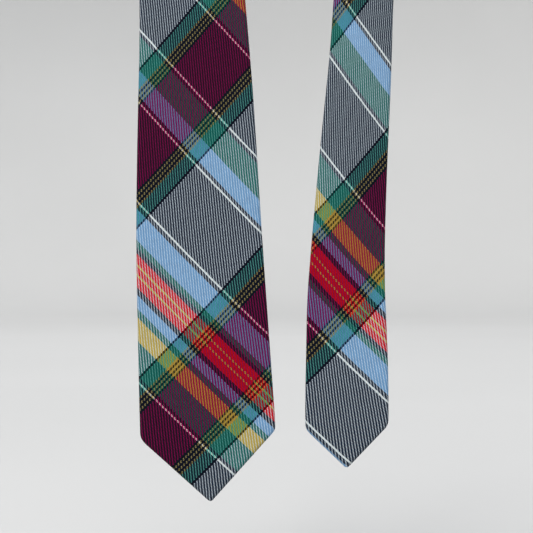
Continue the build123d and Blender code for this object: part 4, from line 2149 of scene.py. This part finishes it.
@dataclass
class Label:
    """The blank woven label over the back seam, sewn down along its edges."""

    needle: Needle
    shell: EndShell
    columns: int = 34
    rows: int = 12
    thickness: float = 0.3 * MM
    off_shell: float = 0.12 * MM
    settle: float = 7.0 * MM  # past the lap, where it is down on the inner flap again
    curl: float = 0.25 * MM
    curls: float = 70.0  # per metre
    inset: float = 1.3 * MM
    stitch: float = 1.7 * MM
    spacing: float = 2.7 * MM
    thread: float = 0.36 * MM

    def __post_init__(self) -> None:
        """Finds the label's solid, and the middle of the shell's row behind it."""
        self.low, self.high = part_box("maker_label")
        end = self.shell.end
        level = (self.low.z + self.high.z) / 2
        self.origin = self.shell.lay(level - end.hinge.z + end.length, 0.0, 0.0)

    def depth(self, inward: float) -> float:
        """How deep the label's underside lies: over the lap and down again.

        Args:
            inward: from the row's middle.

        Returns:
            How far behind the middle plane it is.
        """
        past = inward - FOLD.lap
        hump = FOLD.raised(-past) if past < 0 else 1 - ease(0, self.settle, past)
        return LAYERS.half + LAYERS.drawn_cloth / 2 + self.off_shell + FOLD.lift * hump

    def place(self, x: float, z: float, off: float) -> Vector:
        """A place on the label.

        Args:
            x: its X.
            z: its Z.
            off: how far off the label's underside it is.

        Returns:
            The place in the row frame.
        """
        curl = self.curl * abs(noise.noise(Vector((x * self.curls, 3.0, z * self.curls))))
        depth = self.depth((x - self.origin.x) * self.shell.inward)
        return Vector((x, self.shell.end.hinge.y + depth + off + curl, z))

    def build(self, wardrobe: Wardrobe) -> list[Piece]:
        """Makes the label and its stitches.

        Args:
            wardrobe: makes its material.

        Returns:
            The two pieces.
        """
        low, high = self.low, self.high
        rows, counts = [], []
        for r in range(self.rows + 1):
            z = low.z + (high.z - low.z) * r / self.rows
            xs = [low.x + (high.x - low.x) * c / self.columns for c in range(self.columns + 1)]
            rows.append([self.place(x, z, self.thickness / 2) for x in xs])
            counts.append([(c / self.columns, r / self.rows) for c in range(self.columns + 1)])
        cloth = ClothMesh("blank_label")
        cloth.add_rows(rows, zip(counts, counts[1:]))
        label = cloth.build(thickness=self.thickness)
        wardrobe.dress(label, Finish.LABEL)
        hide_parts("maker_label")
        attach(label, self.shell.end.name)
        return [label, self.hem()]

    def hem(self) -> Piece:
        """Sews the label down along its four edges.

        Returns:
            The piece.
        """
        left, right = self.low.x + self.inset, self.high.x - self.inset
        bottom, top = self.low.z + self.inset, self.high.z - self.inset
        across, up = Vector((1, 0, 0)), Vector((0, 0, 1))
        edges = (
            (left, bottom, across, right - left),
            (left, top, across, right - left),
            (left, bottom, up, top - bottom),
            (right, bottom, up, top - bottom),
        )
        stitches = []
        for x, z, run, length in edges:
            for k in range(int(length / self.spacing) + 1):
                a = Vector((x, 0, z)) + run * min(self.spacing * k, length - self.stitch)
                b = a + run * self.stitch
                ends = [self.place(p.x, p.z, self.thickness + 0.02 * MM) for p in (a, b)]
                stitches.append(Stitch(ends[0], ends[1], BACKWARD, self.thread))
        sewn = self.needle.sew("label_hem_stitches", stitches)
        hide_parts("label_stitches")
        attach(sewn, self.shell.end.name)
        return sewn


@dataclass(frozen=True)
class FarLight:
    """A far, soft light that falls evenly on the whole room."""

    name: str
    azimuth: float  # degrees from straight in front, positive to the right
    height: float  # degrees above level
    spread: float  # how wide its source looks, in degrees
    strength: float
    color: Point3

    def build(self) -> None:
        """Adds the light."""
        lamp = bpy.data.lights.new(self.name, "SUN")
        lamp.energy = self.strength
        lamp.angle = math.radians(self.spread)
        lamp.color = self.color
        holder = bpy.data.objects.new(self.name, lamp)
        bpy.context.collection.objects.link(holder)
        turn, rise = math.radians(self.azimuth), math.radians(self.height)
        away = Vector((math.sin(turn) * math.cos(rise), -math.cos(turn) * math.cos(rise), math.sin(rise)))
        holder.location = away * 3
        holder.rotation_euler = away.to_track_quat("Z", "Y").to_euler()


FAR_LIGHTS = (
    FarLight("key", -38, 42, 40, 2.3, (1.0, 0.985, 0.96)),
    FarLight("fill", 40, 34, 70, 1.2, (0.95, 0.975, 1.0)),
    FarLight("behind", 160, 48, 60, 1.6, (1.0, 1.0, 1.0)),
)


@dataclass
class Studio:
    """A plain pale room with soft light, and the camera."""

    floor: float = -0.70
    radius: float = 4.6
    cove: float = 1.6
    wall: float = 1.8
    steps: int = 10
    panel_place: Point3 = (-0.35, -1.25, 0.35)
    panel_aim: Point3 = (0.0, 0.0, -0.25)
    panel_size: float = 0.9
    panel_watts: float = 8.5
    air: Color = (0.93, 0.95, 1.0, 1.0)
    air_strength: float = 0.80
    camera_place: Point3 = (-0.0068, -0.839, -0.4961)
    lens: float = 90.0  # millimetres, for a sensor 36 mm wide

    def build_room(self, wardrobe: Wardrobe) -> Piece:
        """Makes a round floor that rises in one sweep to an open wall.

        Args:
            wardrobe: makes its material.

        Returns:
            The room.
        """
        deselect_all()
        bpy.ops.mesh.primitive_circle_add(
            vertices=96, radius=self.radius, fill_type="NGON", location=(0, 0, self.floor)
        )
        room = bpy.context.object
        room.name = "pale_room"
        bpy.ops.object.mode_set(mode="EDIT")
        bpy.ops.mesh.select_mode(type="EDGE")
        bpy.ops.mesh.select_all(action="SELECT")
        out, up = self.radius, 0.0
        for k in range(1, self.steps + 1):
            angle = math.pi / 2 * k / self.steps
            new_out = self.radius + self.cove * math.sin(angle)
            new_up = self.cove * (1 - math.cos(angle))
            self.raise_rim(new_out / out, new_up - up)
            out, up = new_out, new_up
        self.raise_rim(1.0, self.wall)
        bpy.ops.mesh.select_all(action="SELECT")
        bpy.ops.mesh.normals_make_consistent(inside=True)
        bpy.ops.object.mode_set(mode="OBJECT")
        bpy.ops.object.transform_apply(location=True, rotation=True, scale=True)
        smooth_by_angle(room, math.radians(30))
        wardrobe.dress(room, Finish.STUDIO)
        room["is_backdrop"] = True
        return room

    @staticmethod
    def raise_rim(grow: float, lift: float) -> None:
        """Extrudes the selected rim.

        Args:
            grow: how many times wider the new rim is.
            lift: how much higher it is.
        """
        bpy.ops.mesh.extrude_edges_move(
            MESH_OT_extrude_edges_indiv={}, TRANSFORM_OT_translate={"value": (0, 0, lift)}
        )
        bpy.ops.transform.resize(value=(grow, grow, 1.0), center_override=(0, 0, 0))

    def build_lights(self) -> None:
        """A large soft key high on the left, a weaker fill, one behind, and pale air all round."""
        for light in FAR_LIGHTS:
            light.build()
        self.build_panel()
        world = bpy.data.worlds.new("pale_air")
        world.use_nodes = True
        air = world.node_tree.nodes["Background"]
        air.inputs["Color"].default_value = self.air
        air.inputs["Strength"].default_value = self.air_strength
        bpy.context.scene.world = world

    def build_panel(self) -> None:
        """Adds a square lamp close above the front, which lights the top a little more."""
        place, aim = Vector(self.panel_place), Vector(self.panel_aim)
        lamp = bpy.data.lights.new("panel", "AREA")
        lamp.shape = "SQUARE"
        lamp.size = self.panel_size
        lamp.energy = self.panel_watts
        holder = bpy.data.objects.new("panel", lamp)
        bpy.context.collection.objects.link(holder)
        holder.location = place
        holder.rotation_euler = (aim - place).to_track_quat("-Z", "Y").to_euler()

    def build_camera(self) -> None:
        """Straight on to the two points, as the part hangs."""
        camera = bpy.data.cameras.new("front")
        camera.lens = self.lens
        camera.sensor_width = 36.0
        holder = bpy.data.objects.new("front", camera)
        bpy.context.collection.objects.link(holder)
        holder.location = self.camera_place
        holder.rotation_euler = (math.radians(90), 0, 0)
        bpy.context.scene.camera = holder
        bpy.context.scene.view_settings.view_transform = "Standard"

    def build(self, wardrobe: Wardrobe) -> None:
        """Makes the room, its lights and the camera.

        Args:
            wardrobe: makes the room's material.
        """
        self.build_room(wardrobe)
        self.build_lights()
        self.build_camera()


def write_size() -> None:
    """Works out the solids' box and the visual model's box."""
    boxes = {"cad": CAD_BOX, "visual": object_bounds()}
    {name: [list(corner) for corner in box] for name, box in boxes.items()}


def main() -> None:
    """Builds the scene, one sub-assembly after another, and reports its pieces."""
    wardrobe = Wardrobe()
    Studio().build(wardrobe)
    blade, tail = make_blade(), make_tail()
    needle = Needle(wardrobe)
    seam, joining = BackSeam(needle), JoiningSeam(needle)
    pieces = []
    shells = {end.name: EndShell(end) for end in (blade, tail)}
    for shell in shells.values():
        layup = Layup(shell)
        pieces += [shell.build(wardrobe), layup.build_felt(wardrobe), layup.build_lining(wardrobe)]
        pieces += seam.sew_end(shell)
        pieces.append(joining.build(shell))
    neck = NeckShell(blade, tail)
    pieces += [neck.build(wardrobe), NeckFelt().build(blade, tail, wardrobe), seam.sew_neck(neck)]
    pieces += Keeper(needle).build(wardrobe, blade)
    pieces += Label(needle, shells["blade"]).build(wardrobe)
    for piece in pieces:
        log.info("%s: %d faces", piece.name, len(piece.data.polygons))
    write_size()


if __name__ == "__main__":
    main()
